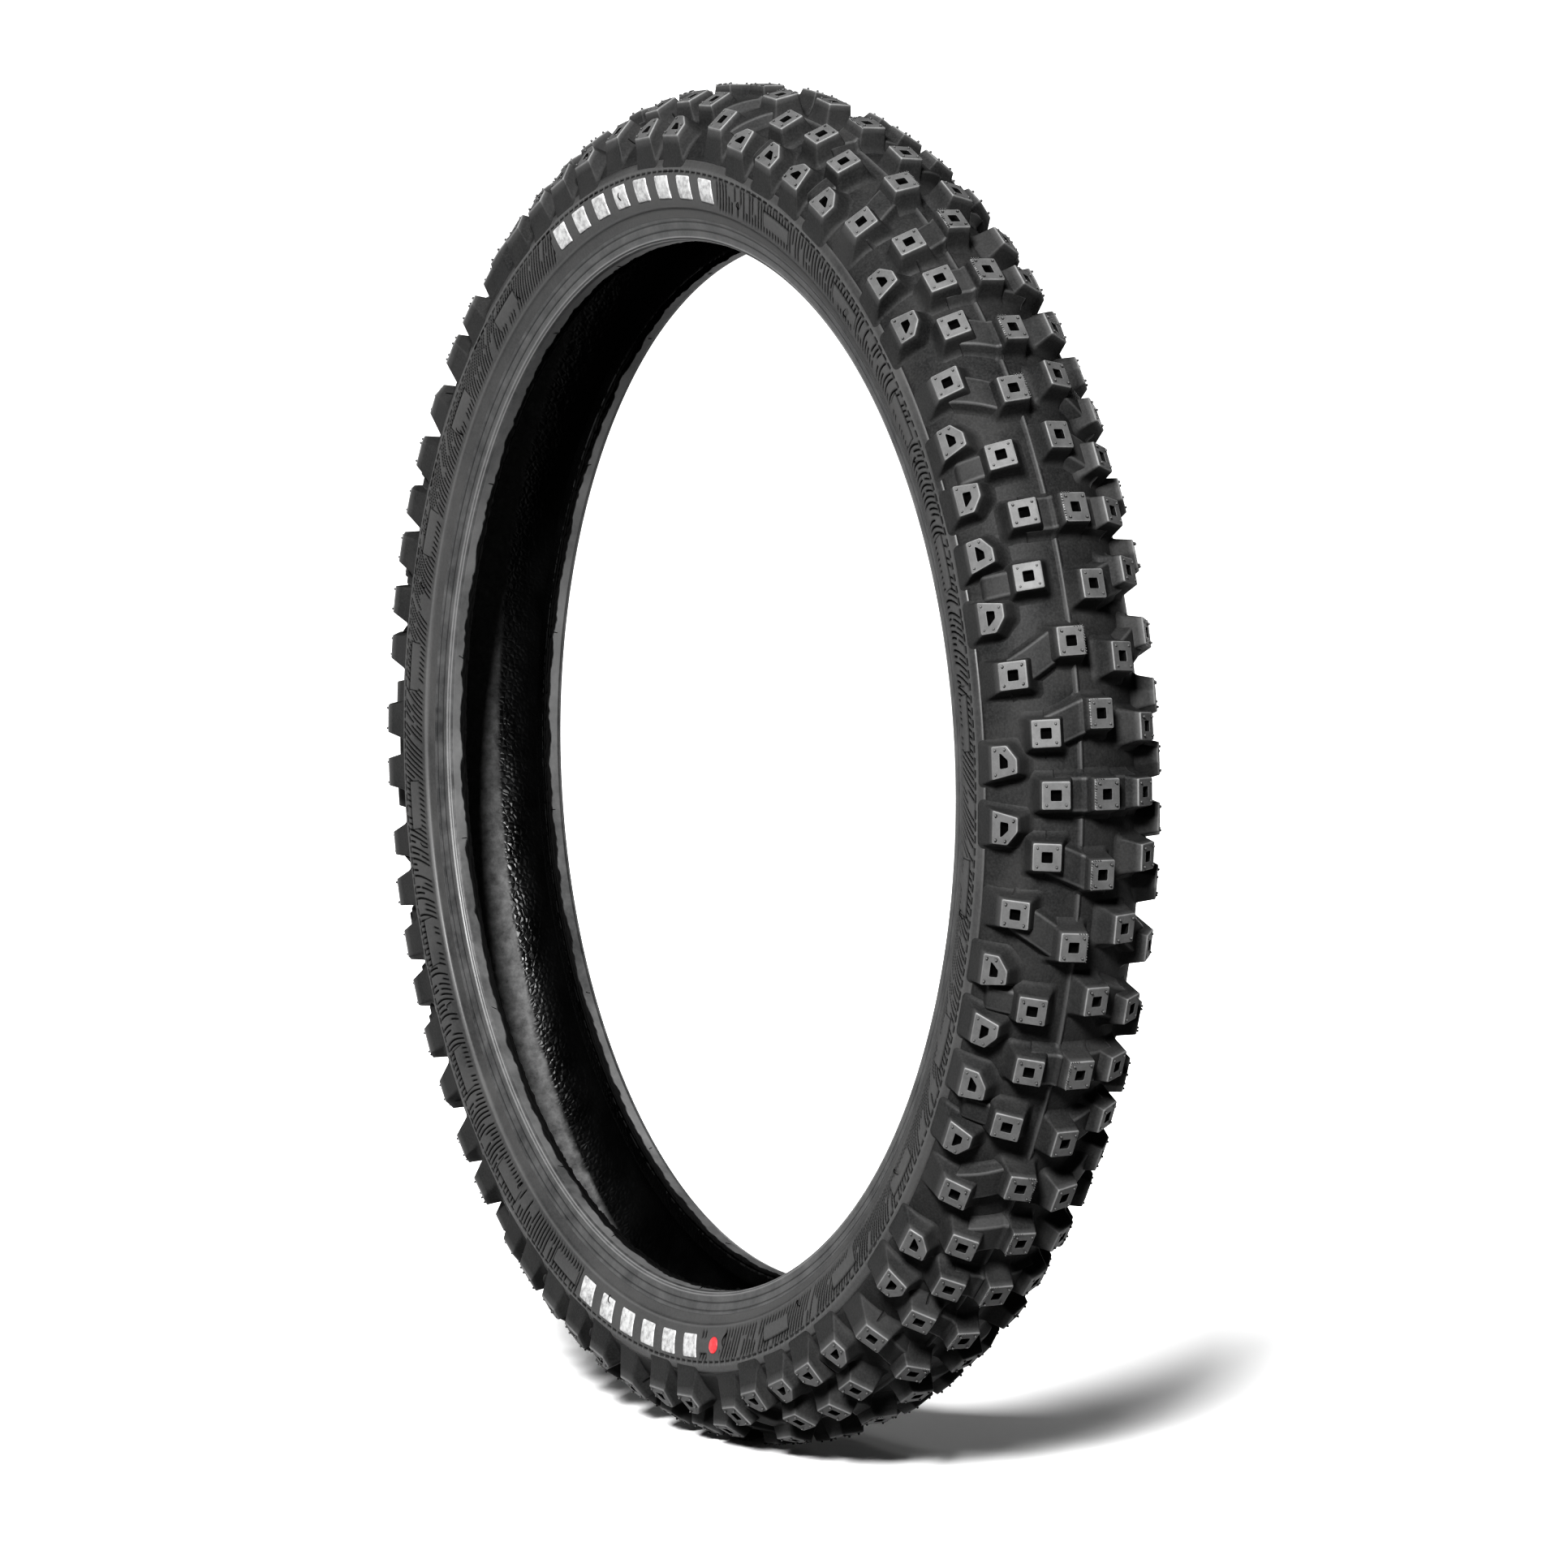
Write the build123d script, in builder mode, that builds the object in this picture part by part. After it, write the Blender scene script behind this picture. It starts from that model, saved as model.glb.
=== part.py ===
from build123d import *
import os
from math import asin, atan2, cos, degrees, hypot, radians, sin, tan

# Off-road motorcycle front tyre, size 80/100-21, unmounted, built from its real layers.
# Millimetres. The axle is the Y axis, the origin is the wheel centre, and +Z is up.
# "Right" is the -Y side and "left" is the +Y side. An angle of 0 points along +X, 90 along +Z.

# Tread
TOP_CROWN = 345.5        # axle to the flat top of the centre knobs
TOP_ARC = 52.2           # arc across the knob tops
BASE_CROWN = 334.0       # axle to the tread base between the centre knobs
BASE_ARC = 46.8          # arc across the tread base
PERIODS = 8              # repeats of the tread pattern
PERIOD = 360 / PERIODS
PHASE = 1.2              # angle of the pattern's first mirror line
GLIDE = PERIOD / 2       # the left half is the right half mirrored and turned by this
ROOT_DEPTH = 14.0        # depth of a knob below its top, before the tread base trims it
POCKET_DEPTH = 3.0
POCKET = 5.0

# Casing layers, measured outwards from the surface of the cavity
CAVITY_CENTRE = (0.0, 288.0)
CAVITY_ARC = 38.0
CAVITY_SWEEP = 72.0      # where the crown arc passes into the tighter side arc
SIDE_ARC = 18.0
SIDE_END = 150.0         # where the side arc passes into the straight run to the bead
LINER = 1.0
PLY = 0.9
BREAKER = 1.0
BREAKER_EDGE = 48.0
UNDERTREAD = 2.5
UNDERTREAD_EDGE = 58.0
TREAD_EDGE = 66.0        # where the tread cap ends and the sidewall rubber begins

# Bead
SEAT_RADIUS = 266.0
BEAD_INNER = 24.0        # lateral place of the bead's inner face
HEEL = 32.0
CHAFER = 1.2             # also the size of the toe's chamfer
CHAFER_TOP = 277.5
WRAP = 0.4
WIRE = 0.95
WIRE_PITCH = 1.0
WIRE_ROWS = 4
CORE_WIDTH = WIRE_ROWS * WIRE_PITCH + 2 * WRAP
CORE_HEIGHT = WIRE_ROWS * WIRE_PITCH + 0.5
TURN_UP_LEAN = 32.0
TURN_UP_OUTER = 10.0     # length of the outer ply's turn-up above the bead core
TURN_UP_INNER = 6.0
FILLER_APEX = 112.0      # where the filler's tip meets the side arc

# Outside of the sidewall, as (lateral, radius)
BAND_OUTER_RADIUS = 302.0
BAND_MIDDLE = (43.6, 292.5)
BAND_INNER = (40.6, 283.0)
FLANGE_TOP = (39.4, 282.2)
FLANGE_MIDDLE = (36.6, 275.4)
FLANGE_FOOT = (34.9, 269.6)
HEEL_MIDDLE = (34.0, 267.1)

# Marks on the sidewall's ribbed band
MARK_RADII = (287.0, 299.0)
MARK_THICKNESS = 0.6
MARK_SWEEP = 3.0
MARK_PITCH = 4.4
MARK_GROUPS = ((97.2, 8), (-96.3, 6))    # middle angle and count of each row of marks
DOT_RADIUS = 4.2
DOT_PLACE = 292.5
DOT_ANGLE = -80.5

# Tread blocks: lateral places of their middles, sizes around and across the tyre, and angles
# from the pattern's mirror lines. A draft is how far a flank moves out over the root depth.
ALONG_DRAFT = 3.5
CENTRE_DRAFTS = (2.5, 1.2)        # towards the centre plane, and away from it
PAIR_DRAFTS = (1.2, 5.0)
INTERMEDIATE_DRAFTS = (3.0, 5.5)
SHOULDER_DRAFTS = (3.0, 14.5)     # the shoulder blocks run down onto the sidewall
MIDDLE_PLACE, MIDDLE_SIZE = 0.3, (14.6, 13.4)
CENTRE_PLACE, CENTRE_SIZE, CENTRE_ANGLE = 1.9, (14.0, 12.4), 6.2
PAIR_PLACE, PAIR_SIZE, PAIR_ANGLE = 13.5, (13.8, 13.0), 11.9
LINE_PLACE, LINE_SIZE = 24.4, (13.0, 13.2)
OUTER_PLACE, OUTER_SIZE = 27.7, (12.9, 13.3)
NEAR_ANGLE = 4.85
FAR_ANGLE = 17.35
SQUARE_PLACE, SQUARE_SIZE, SQUARE_ANGLE = 38.0, (13.1, 13.4), 9.65
CUT_PLACE = 42.5
CUT_ANGLES = (2.65, -14.7, 19.95)
CUT_TOP = [(-5.0, -6.4), (1.6, -6.4), (8.0, -1.3), (7.6, 6.2), (-7.8, 6.2)]
CUT_SPREAD = [(-3.0, -3.0), (1.0, -3.0), (3.5, -1.2), (3.5, 14.5), (-3.5, 14.5)]
CUT_POCKET = [(-1.5, -1.6), (0.5, -1.6), (4.0, 2.0), (-2.6, 2.0)]

# Tie bars between blocks, with the lateral places where they start and end
BAR_HEIGHT = 5.5
BAR_WIDTH = 15.5         # a little more than the blocks' tops, flush with their drafted flanks
BAR_DRAFT = 2.0
BAR_ROOT = 3.0           # how far a bar starts below the tread base
LINE_BAR = (4.0, 20.0)
LEAN_BAR = (6.0, 23.0)
ZIGZAG_BAR = (16.0, 33.5)
STRUT_HEIGHT = 3.5
STRUT_WIDTH = 11.0
STRUT = (29.0, 39.5)

PLIES = LINER + 2 * PLY
SIDE_OFFSET = CAVITY_ARC - SIDE_ARC
SIDE_CENTRE = (
    CAVITY_CENTRE[0] + SIDE_OFFSET * sin(radians(CAVITY_SWEEP)),
    CAVITY_CENTRE[1] + SIDE_OFFSET * cos(radians(CAVITY_SWEEP)),
)
BASE_CENTRE = (0.0, BASE_CROWN - BASE_ARC)
TOP_CENTRE = (0.0, TOP_CROWN - TOP_ARC)
CORE_LEFT = BEAD_INNER + PLIES
CORE_RIGHT = CORE_LEFT + CORE_WIDTH
CORE_FLOOR = SEAT_RADIUS + CHAFER + 2 * PLY
CORE_TOP = CORE_FLOOR + CORE_HEIGHT

os.makedirs("parts", exist_ok=True)


# ---------------------------------------------------------------- cross-section helpers


def polar(centre, radius, lean):
    """Point at a radius from a centre, with its lean measured from the outward direction."""
    return (centre[0] + radius * sin(radians(lean)), centre[1] + radius * cos(radians(lean)))


def base_edge():
    """Point where the arc of the tread base meets the sidewall's ribbed band."""
    rise = BAND_OUTER_RADIUS - BASE_CENTRE[1]
    return ((BASE_ARC**2 - rise**2) ** 0.5, BAND_OUTER_RADIUS)


def bead_corner(depth):
    """Corner where the straight run meets the bead's inner face, for a surface at a depth."""
    run = polar(SIDE_CENTRE, SIDE_ARC + depth, SIDE_END)
    lateral = BEAD_INNER + depth
    travel = (run[0] - lateral) / -cos(radians(SIDE_END))
    return (lateral, run[1] - travel * sin(radians(SIDE_END)))


def casing_curve(depth, foot):
    """Draw one surface of a layer, from the crown down to a foot radius at the bead."""
    CenterArc(CAVITY_CENTRE, CAVITY_ARC + depth, 90 - CAVITY_SWEEP, CAVITY_SWEEP)
    CenterArc(SIDE_CENTRE, SIDE_ARC + depth, 90 - SIDE_END, SIDE_END - CAVITY_SWEEP)
    Line(polar(SIDE_CENTRE, SIDE_ARC + depth, SIDE_END), bead_corner(depth))
    Line(bead_corner(depth), (BEAD_INNER + depth, foot))


def crown_line(inner, outer):
    """Draw the closing line of a half section on the tyre's centre plane."""
    crown = CAVITY_CENTRE[1] + CAVITY_ARC
    Line((0, crown + inner), (0, crown + outer))


def turn_up(offset, length):
    """Corner and end of one surface of a turned-up ply, outside the bead core."""
    lean = radians(TURN_UP_LEAN)
    corner = (CORE_RIGHT + offset, CORE_TOP - offset * tan(lean / 2))
    end = (
        CORE_RIGHT + offset * cos(lean) + length * sin(lean),
        CORE_TOP - offset * sin(lean) + length * cos(lean),
    )
    return corner, end


def crown_band(inner, outer, edge):
    """Half section of a crown layer between two depths, out to an edge angle."""
    with BuildSketch(Plane.YZ) as section:
        with BuildLine():
            CenterArc(CAVITY_CENTRE, CAVITY_ARC + inner, 90 - edge, edge)
            CenterArc(CAVITY_CENTRE, CAVITY_ARC + outer, 90 - edge, edge)
            crown_line(inner, outer)
            Line(
                polar(CAVITY_CENTRE, CAVITY_ARC + inner, edge),
                polar(CAVITY_CENTRE, CAVITY_ARC + outer, edge),
            )
        make_face()
    return section


def ply(inner, under, length):
    """Half section of a casing ply: down inside the bead core, under it and up outside."""
    outer = inner + PLY
    floor = CORE_FLOOR - under
    outer_corner, outer_end = turn_up(under, length)
    inner_corner, inner_end = turn_up(under - PLY, length)
    with BuildSketch(Plane.YZ) as section:
        with BuildLine():
            casing_curve(inner, floor)
            casing_curve(outer, floor + PLY)
            crown_line(inner, outer)
            Polyline(
                (BEAD_INNER + inner, floor),
                (CORE_RIGHT + under, floor),
                outer_corner,
                outer_end,
                inner_end,
                inner_corner,
                (CORE_RIGHT + under - PLY, floor + PLY),
                (BEAD_INNER + outer, floor + PLY),
            )
        make_face()
    return section


# ---------------------------------------------------------------- half sections

# The whole half section, from the cavity to the outside
with BuildSketch(Plane.YZ) as shell_section:
    with BuildLine():
        casing_curve(0, SEAT_RADIUS + CHAFER)
        Polyline(
            (BEAD_INNER, SEAT_RADIUS + CHAFER),
            (BEAD_INNER + CHAFER, SEAT_RADIUS),
            (HEEL, SEAT_RADIUS),
        )
        ThreePointArc((HEEL, SEAT_RADIUS), HEEL_MIDDLE, FLANGE_FOOT)
        ThreePointArc(FLANGE_FOOT, FLANGE_MIDDLE, FLANGE_TOP)
        Line(FLANGE_TOP, BAND_INNER)
        ThreePointArc(BAND_INNER, BAND_MIDDLE, base_edge())
        edge_lean = degrees(asin(base_edge()[0] / BASE_ARC))
        CenterArc(BASE_CENTRE, BASE_ARC, 90 - edge_lean, edge_lean)
        Line((0, CAVITY_CENTRE[1] + CAVITY_ARC), (0, BASE_CROWN))
    make_face()

with BuildSketch(Plane.YZ) as liner_section:
    with BuildLine():
        casing_curve(0, SEAT_RADIUS + CHAFER)
        casing_curve(LINER, SEAT_RADIUS + CHAFER)
        crown_line(0, LINER)
        Line((BEAD_INNER, SEAT_RADIUS + CHAFER), (BEAD_INNER + LINER, SEAT_RADIUS + CHAFER))
    make_face()

inner_ply_section = ply(LINER, 2 * PLY, TURN_UP_INNER)
outer_ply_section = ply(LINER + PLY, PLY, TURN_UP_OUTER)
breaker_section = crown_band(PLIES, PLIES + BREAKER, BREAKER_EDGE)

with BuildSketch(Plane.YZ) as undertread_section:
    add(crown_band(PLIES, PLIES + UNDERTREAD, UNDERTREAD_EDGE))
    add(breaker_section, mode=Mode.SUBTRACT)

# The filler is a wedge on top of the bead core, between the plies and their turn-up
filler_corner, filler_end = turn_up(0, TURN_UP_OUTER)
with BuildSketch(Plane.YZ) as filler_section:
    with BuildLine():
        CenterArc(SIDE_CENTRE, SIDE_ARC + PLIES, 90 - SIDE_END, SIDE_END - FILLER_APEX)
        Polyline(
            polar(SIDE_CENTRE, SIDE_ARC + PLIES, SIDE_END),
            bead_corner(PLIES),
            (CORE_LEFT, CORE_TOP),
            filler_corner,
            filler_end,
            polar(SIDE_CENTRE, SIDE_ARC + PLIES, FILLER_APEX),
        )
    make_face()

# The wrap is a strip folded around the wires, open where the filler sits on them
with BuildSketch(Plane.YZ) as wrap_section:
    with BuildLine():
        Polyline(
            (CORE_LEFT, CORE_TOP),
            (CORE_LEFT, CORE_FLOOR),
            (CORE_RIGHT, CORE_FLOOR),
            (CORE_RIGHT, CORE_TOP),
            (CORE_RIGHT - WRAP, CORE_TOP),
            (CORE_RIGHT - WRAP, CORE_FLOOR + WRAP),
            (CORE_LEFT + WRAP, CORE_FLOOR + WRAP),
            (CORE_LEFT + WRAP, CORE_TOP),
            close=True,
        )
    make_face()

with BuildSketch(Plane.YZ) as wire_section:
    first_wire = (CORE_LEFT + WRAP + WIRE_PITCH / 2, CORE_FLOOR + WRAP + WIRE_PITCH / 2)
    with Locations(first_wire):
        with GridLocations(
            WIRE_PITCH, WIRE_PITCH, WIRE_ROWS, WIRE_ROWS, align=(Align.MIN, Align.MIN)
        ):
            Circle(WIRE / 2)

# Everything inside the rubber of the bead and the sidewall
with BuildSketch(Plane.YZ) as core_section:
    with BuildLine():
        Polyline(
            (CORE_LEFT, CORE_FLOOR),
            (CORE_RIGHT, CORE_FLOOR),
            (CORE_RIGHT, CORE_TOP),
            (CORE_LEFT, CORE_TOP),
            close=True,
        )
    make_face()
    add(liner_section)
    add(inner_ply_section)
    add(outer_ply_section)
    add(filler_section)

# The chafer covers the toe, the seat, the heel and the foot of the flange face
with BuildSketch(Plane.YZ) as chafer_section:
    with BuildLine():
        Polyline(
            (BEAD_INNER, SEAT_RADIUS),
            (FLANGE_TOP[0], SEAT_RADIUS),
            (FLANGE_TOP[0], CHAFER_TOP),
            (CORE_RIGHT, CHAFER_TOP),
            (CORE_RIGHT, CORE_FLOOR),
            (BEAD_INNER, CORE_FLOOR),
            close=True,
        )
    make_face()
    add(shell_section, mode=Mode.INTERSECT)
    add(core_section, mode=Mode.SUBTRACT)

# The tread wedge is the sector between the centre plane and the tread's edge
with BuildSketch(Plane.YZ) as tread_wedge:
    with BuildLine():
        Polyline(
            CAVITY_CENTRE,
            polar(CAVITY_CENTRE, 2 * BASE_ARC, TREAD_EDGE),
            polar(CAVITY_CENTRE, 2 * BASE_ARC, 0),
            close=True,
        )
    make_face()

with BuildSketch(Plane.YZ) as tread_base_section:
    add(shell_section)
    add(tread_wedge, mode=Mode.INTERSECT)
    add(core_section, mode=Mode.SUBTRACT)
    add(breaker_section, mode=Mode.SUBTRACT)
    add(undertread_section, mode=Mode.SUBTRACT)

with BuildSketch(Plane.YZ) as sidewall_section:
    add(shell_section)
    add(tread_wedge, mode=Mode.SUBTRACT)
    add(core_section, mode=Mode.SUBTRACT)
    add(chafer_section, mode=Mode.SUBTRACT)


# ---------------------------------------------------------------- rings


def whole_ring(section, label):
    """Revolve a half section, mirror it and write the ring across both sides."""
    with BuildPart() as ring:
        add(section.sketch)
        revolve(axis=Axis.Y)
        mirror(about=Plane.XZ)
    ring.part.label = label
    export_step(ring.part, f"parts/{label}.step")


def side_rings(section, name):
    """Revolve a half section into the left ring, and mirror it for the right one."""
    with BuildPart() as left:
        add(section.sketch)
        revolve(axis=Axis.Y)
    left.part.label = f"{name}_left"
    export_step(left.part, f"parts/{name}_left.step")
    with BuildPart() as right:
        add(left.part)
        mirror(about=Plane.XZ, mode=Mode.REPLACE)
    right.part.label = f"{name}_right"
    export_step(right.part, f"parts/{name}_right.step")


whole_ring(liner_section, "inner_liner")
whole_ring(inner_ply_section, "body_ply_inner")
whole_ring(outer_ply_section, "body_ply_outer")
whole_ring(breaker_section, "crown_breaker")
whole_ring(undertread_section, "undertread")
whole_ring(tread_base_section, "tread_base")
side_rings(sidewall_section, "sidewall")
side_rings(chafer_section, "chafer")
side_rings(filler_section, "bead_filler")
side_rings(wrap_section, "bead_wrap")
side_rings(wire_section, "bead_wires")


# ---------------------------------------------------------------- tread blocks

# The tread base as a solid ring, which trims every block that stands on it
with BuildSketch(Plane.YZ) as footing_section:
    with BuildLine():
        Polyline((0, BASE_CROWN), CAVITY_CENTRE, (base_edge()[0], CAVITY_CENTRE[1]), base_edge())
        CenterArc(BASE_CENTRE, BASE_ARC, 90 - edge_lean, edge_lean)
    make_face()

with BuildPart() as footing:
    add(footing_section.sketch)
    revolve(axis=Axis.Y)
    mirror(about=Plane.XZ)


def block_plane(lateral, arc, centre):
    """Plane touching an arc of the tread at angle 0, on the right for a positive lateral place.

    Its x runs with rising angle and its y runs away from the centre plane, to the right.
    """
    lean = asin(lateral / arc)
    origin = (centre[1] + arc * cos(lean), -lateral, 0)
    return Plane(origin, x_dir=(0, 0, 1), z_dir=(cos(lean), -sin(lean), 0))


def rectangle(along, across):
    """Corners of a block's top, by its lengths around the tyre and across it."""
    x, y = along / 2, across / 2
    return [(-x, -y), (x, -y), (x, y), (-x, y)]


def block(lateral, top, spread, pocket):
    """One tread block at angle 0: a drafted loft on the tread base, with a pocket in its top.

    The spread says how far each corner of the top moves out by the foot of the loft.
    """
    plane = block_plane(lateral, TOP_ARC, TOP_CENTRE)
    foot = [(x + dx, y + dy) for (x, y), (dx, dy) in zip(top, spread)]
    with BuildPart() as form:
        with BuildSketch(plane):
            Polygon(*top, align=None)
        with BuildSketch(plane.offset(-ROOT_DEPTH)):
            Polygon(*foot, align=None)
        loft(ruled=True)
        add(footing, mode=Mode.SUBTRACT)
        with BuildSketch(plane):
            Polygon(*pocket, align=None)
        extrude(amount=-POCKET_DEPTH, mode=Mode.SUBTRACT)
    return form.part


def spread_box(inward, outward):
    """Spread of a rectangular block's corners."""
    x = ALONG_DRAFT
    return [(-x, -inward), (x, -inward), (x, outward), (-x, outward)]


def flip_angle(points):
    """Outline mirrored in the direction around the tyre, in the same turning sense."""
    return [(-x, y) for x, y in reversed(points)]


def turned(shape, angle):
    """Shape turned about the axle by an angle that rises from +X towards +Z."""
    return shape.rotate(Axis.Y, -angle)


def repeat(forms, label):
    """Write copies of (form, angle) pairs in every period as one node of separate solids."""
    turns = [
        turned(form, PHASE + angle + PERIOD * index)
        for form, angle in forms
        for index in range(PERIODS)
    ]
    with BuildPart() as group:
        add(turns)
    group.part.label = label
    export_step(group.part, f"parts/{label}.step")


def repeat_sides(forms, name):
    """Write a node of the right half, and its glide mirror for the left half."""
    repeat(forms, f"{name}_right")
    glided = [(form.mirror(Plane.XZ), angle + GLIDE) for form, angle in forms]
    repeat(glided, f"{name}_left")


def square_block(lateral, size, drafts):
    """Four-sided block with a square pocket."""
    return block(lateral, rectangle(*size), spread_box(*drafts), rectangle(POCKET, POCKET))


# Centre blocks
middle_block = square_block(MIDDLE_PLACE, MIDDLE_SIZE, CENTRE_DRAFTS)
right_block = square_block(CENTRE_PLACE, CENTRE_SIZE, CENTRE_DRAFTS)
middle_glided = middle_block.mirror(Plane.XZ)
left_block = right_block.mirror(Plane.XZ)
centre_forms = [
    (middle_block, 0),
    (middle_glided, GLIDE),
    (right_block, CENTRE_ANGLE),
    (right_block, -CENTRE_ANGLE),
    (left_block, GLIDE - CENTRE_ANGLE),
    (left_block, CENTRE_ANGLE - GLIDE),
]
repeat(centre_forms, "centre_knobs")

# Inner pair blocks
pair_block = square_block(PAIR_PLACE, PAIR_SIZE, PAIR_DRAFTS)
repeat_sides([(pair_block, PAIR_ANGLE), (pair_block, -PAIR_ANGLE)], "inner_knobs")

# Intermediate blocks: two on the mirror lines, and four a little further out
line_block = square_block(LINE_PLACE, LINE_SIZE, INTERMEDIATE_DRAFTS)
outer_block = square_block(OUTER_PLACE, OUTER_SIZE, INTERMEDIATE_DRAFTS)
intermediate_forms = [
    (line_block, 0),
    (line_block, GLIDE),
    (outer_block, NEAR_ANGLE),
    (outer_block, -NEAR_ANGLE),
    (outer_block, FAR_ANGLE),
    (outer_block, -FAR_ANGLE),
]
repeat_sides(intermediate_forms, "intermediate_knobs")

# Square shoulder blocks
shoulder_block = square_block(SQUARE_PLACE, SQUARE_SIZE, SHOULDER_DRAFTS)
square_forms = [(shoulder_block, SQUARE_ANGLE), (shoulder_block, -SQUARE_ANGLE)]
repeat_sides(square_forms, "shoulder_square_knobs")

# Five-sided shoulder blocks, with one long cut corner and a narrowing pocket
cut_block = block(CUT_PLACE, CUT_TOP, CUT_SPREAD, CUT_POCKET)
flipped_block = block(
    CUT_PLACE, flip_angle(CUT_TOP), flip_angle(CUT_SPREAD), flip_angle(CUT_POCKET)
)
cut_forms = [(cut_block, angle) for angle in CUT_ANGLES]
cut_forms += [(flipped_block, -angle) for angle in CUT_ANGLES]
repeat_sides(cut_forms, "shoulder_cut_knobs")


# ---------------------------------------------------------------- tie bars


def base_point(lateral, angle, height):
    """Point above the tread base, at a lateral place to the right and an angle."""
    lean = asin(lateral / BASE_ARC)
    reach = BASE_CENTRE[1] + (BASE_ARC + height) * cos(lean)
    return Vector(
        reach * cos(radians(angle)),
        -(BASE_ARC + height) * sin(lean),
        reach * sin(radians(angle)),
    )


def slanted_outline(plane, around, reach, half):
    """Corners of a bar whose ends lie square to the axle, however much its middle line leans."""
    side = around.normalized() * half
    x, y = side.dot(plane.x_dir), side.dot(plane.y_dir)
    return [(-reach - x, -y), (reach - x, -y), (reach + x, y), (-reach + x, y)]


def tie_bar(start, end, width, height, blocks):
    """Low drafted bar on the tread base between two (lateral, angle) places.

    It is cut back by the blocks at its ends, given as (form, angle) pairs.
    """
    first = base_point(*start, 0)
    last = base_point(*end, 0)
    middle_lateral = (start[0] + end[0]) / 2
    middle_angle = (start[1] + end[1]) / 2
    middle = base_point(middle_lateral, middle_angle, 0)
    above = base_point(middle_lateral, middle_angle, 1)
    plane = Plane(middle, x_dir=last - first, z_dir=above - middle)
    around = base_point(middle_lateral, middle_angle + 1, 0) - middle
    reach = (last - first).length / 2
    with BuildPart() as bar:
        with BuildSketch(plane.offset(height)):
            Polygon(*slanted_outline(plane, around, reach, width / 2), align=None)
        with BuildSketch(plane.offset(-BAR_ROOT)):
            Polygon(*slanted_outline(plane, around, reach, width / 2 + BAR_DRAFT), align=None)
        loft(ruled=True)
        add(footing, mode=Mode.SUBTRACT)
        for form, angle in blocks:
            add(turned(form, angle), mode=Mode.SUBTRACT)
    return max(bar.part.solids(), key=lambda solid: solid.volume)


def flipped(bar):
    """A tie bar's image on the other side of the pattern's mirror line."""
    return bar.mirror(Plane.XY)


def wide_bar(places, angles, blocks):
    """Tie bar of the full width between two blocks."""
    start, end = zip(places, angles)
    return tie_bar(start, end, BAR_WIDTH, BAR_HEIGHT, blocks)


# Bars along a mirror line, from a centre block out to an intermediate block
line_bar = wide_bar(LINE_BAR, (0, 0), [(middle_block, 0), (line_block, 0)])
glide_bar = wide_bar(LINE_BAR, (0, 0), [(middle_glided, 0), (line_block, 0)])

# Bars that lean, between a block nearer the centre plane and one further out
lean_bar = wide_bar(
    LEAN_BAR,
    (CENTRE_ANGLE, NEAR_ANGLE),
    [(right_block, CENTRE_ANGLE), (outer_block, NEAR_ANGLE)],
)
zigzag_bar = wide_bar(
    ZIGZAG_BAR,
    (PAIR_ANGLE, SQUARE_ANGLE),
    [(pair_block, PAIR_ANGLE), (shoulder_block, SQUARE_ANGLE)],
)
bar_forms = [
    (line_bar, 0),
    (glide_bar, GLIDE),
    (lean_bar, 0),
    (flipped(lean_bar), 0),
    (zigzag_bar, 0),
    (flipped(zigzag_bar), 0),
]
repeat_sides(bar_forms, "tie_bars")


# Low struts outwards from the outer blocks, between the shoulder blocks
start, end = zip(STRUT, (0, 0))
strut = tie_bar(start, end, STRUT_WIDTH, STRUT_HEIGHT, [(outer_block, 0)])
repeat_sides([(strut, FAR_ANGLE), (strut, -FAR_ANGLE)], "shoulder_struts")


# ---------------------------------------------------------------- marks on the sidewall


def band_arc_centre():
    """Centre and radius of the ribbed band's arc, through its three points."""
    (ax, ay), (bx, by), (cx, cy) = base_edge(), BAND_MIDDLE, BAND_INNER
    d = 2 * (ax * (by - cy) + bx * (cy - ay) + cx * (ay - by))
    a2, b2, c2 = ax**2 + ay**2, bx**2 + by**2, cx**2 + cy**2
    x = (a2 * (by - cy) + b2 * (cy - ay) + c2 * (ay - by)) / d
    y = (a2 * (cx - bx) + b2 * (ax - cx) + c2 * (bx - ax)) / d
    return (x, y), hypot(ax - x, ay - y)


band_centre, band_arc = band_arc_centre()


def band_lean(radius):
    """Lean of the band's point at a radius from the axle."""
    rise = radius - band_centre[1]
    return degrees(atan2((band_arc**2 - rise**2) ** 0.5, rise))


# The marks and the dot are cut from a thin layer over the band, on the left at first
lean_low, lean_high = band_lean(MARK_RADII[0]), band_lean(MARK_RADII[1])
with BuildPart() as mark:
    with BuildSketch(Plane.YZ):
        with BuildLine():
            for lift in (0, MARK_THICKNESS):
                CenterArc(band_centre, band_arc + lift, 90 - lean_low, lean_low - lean_high)
            for lean in (lean_low, lean_high):
                Line(
                    polar(band_centre, band_arc, lean),
                    polar(band_centre, band_arc + MARK_THICKNESS, lean),
                )
        make_face()
    revolve(axis=Axis.Y, revolution_arc=MARK_SWEEP)

# The revolve starts at +Z and turns towards +X, so this brings its middle to angle 0
left_mark = turned(mark.part, MARK_SWEEP / 2 - 90)
right_mark = left_mark.mirror(Plane.XZ)

for side, form in (("left", left_mark), ("right", right_mark)):
    marks = [
        turned(form, centre + MARK_PITCH * (index - (count - 1) / 2))
        for centre, count in MARK_GROUPS
        for index in range(count)
    ]
    with BuildPart() as sidewall_marks:
        add(marks)
    sidewall_marks.part.label = f"sidewall_marks_{side}"
    export_step(sidewall_marks.part, f"parts/sidewall_marks_{side}.step")

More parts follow.
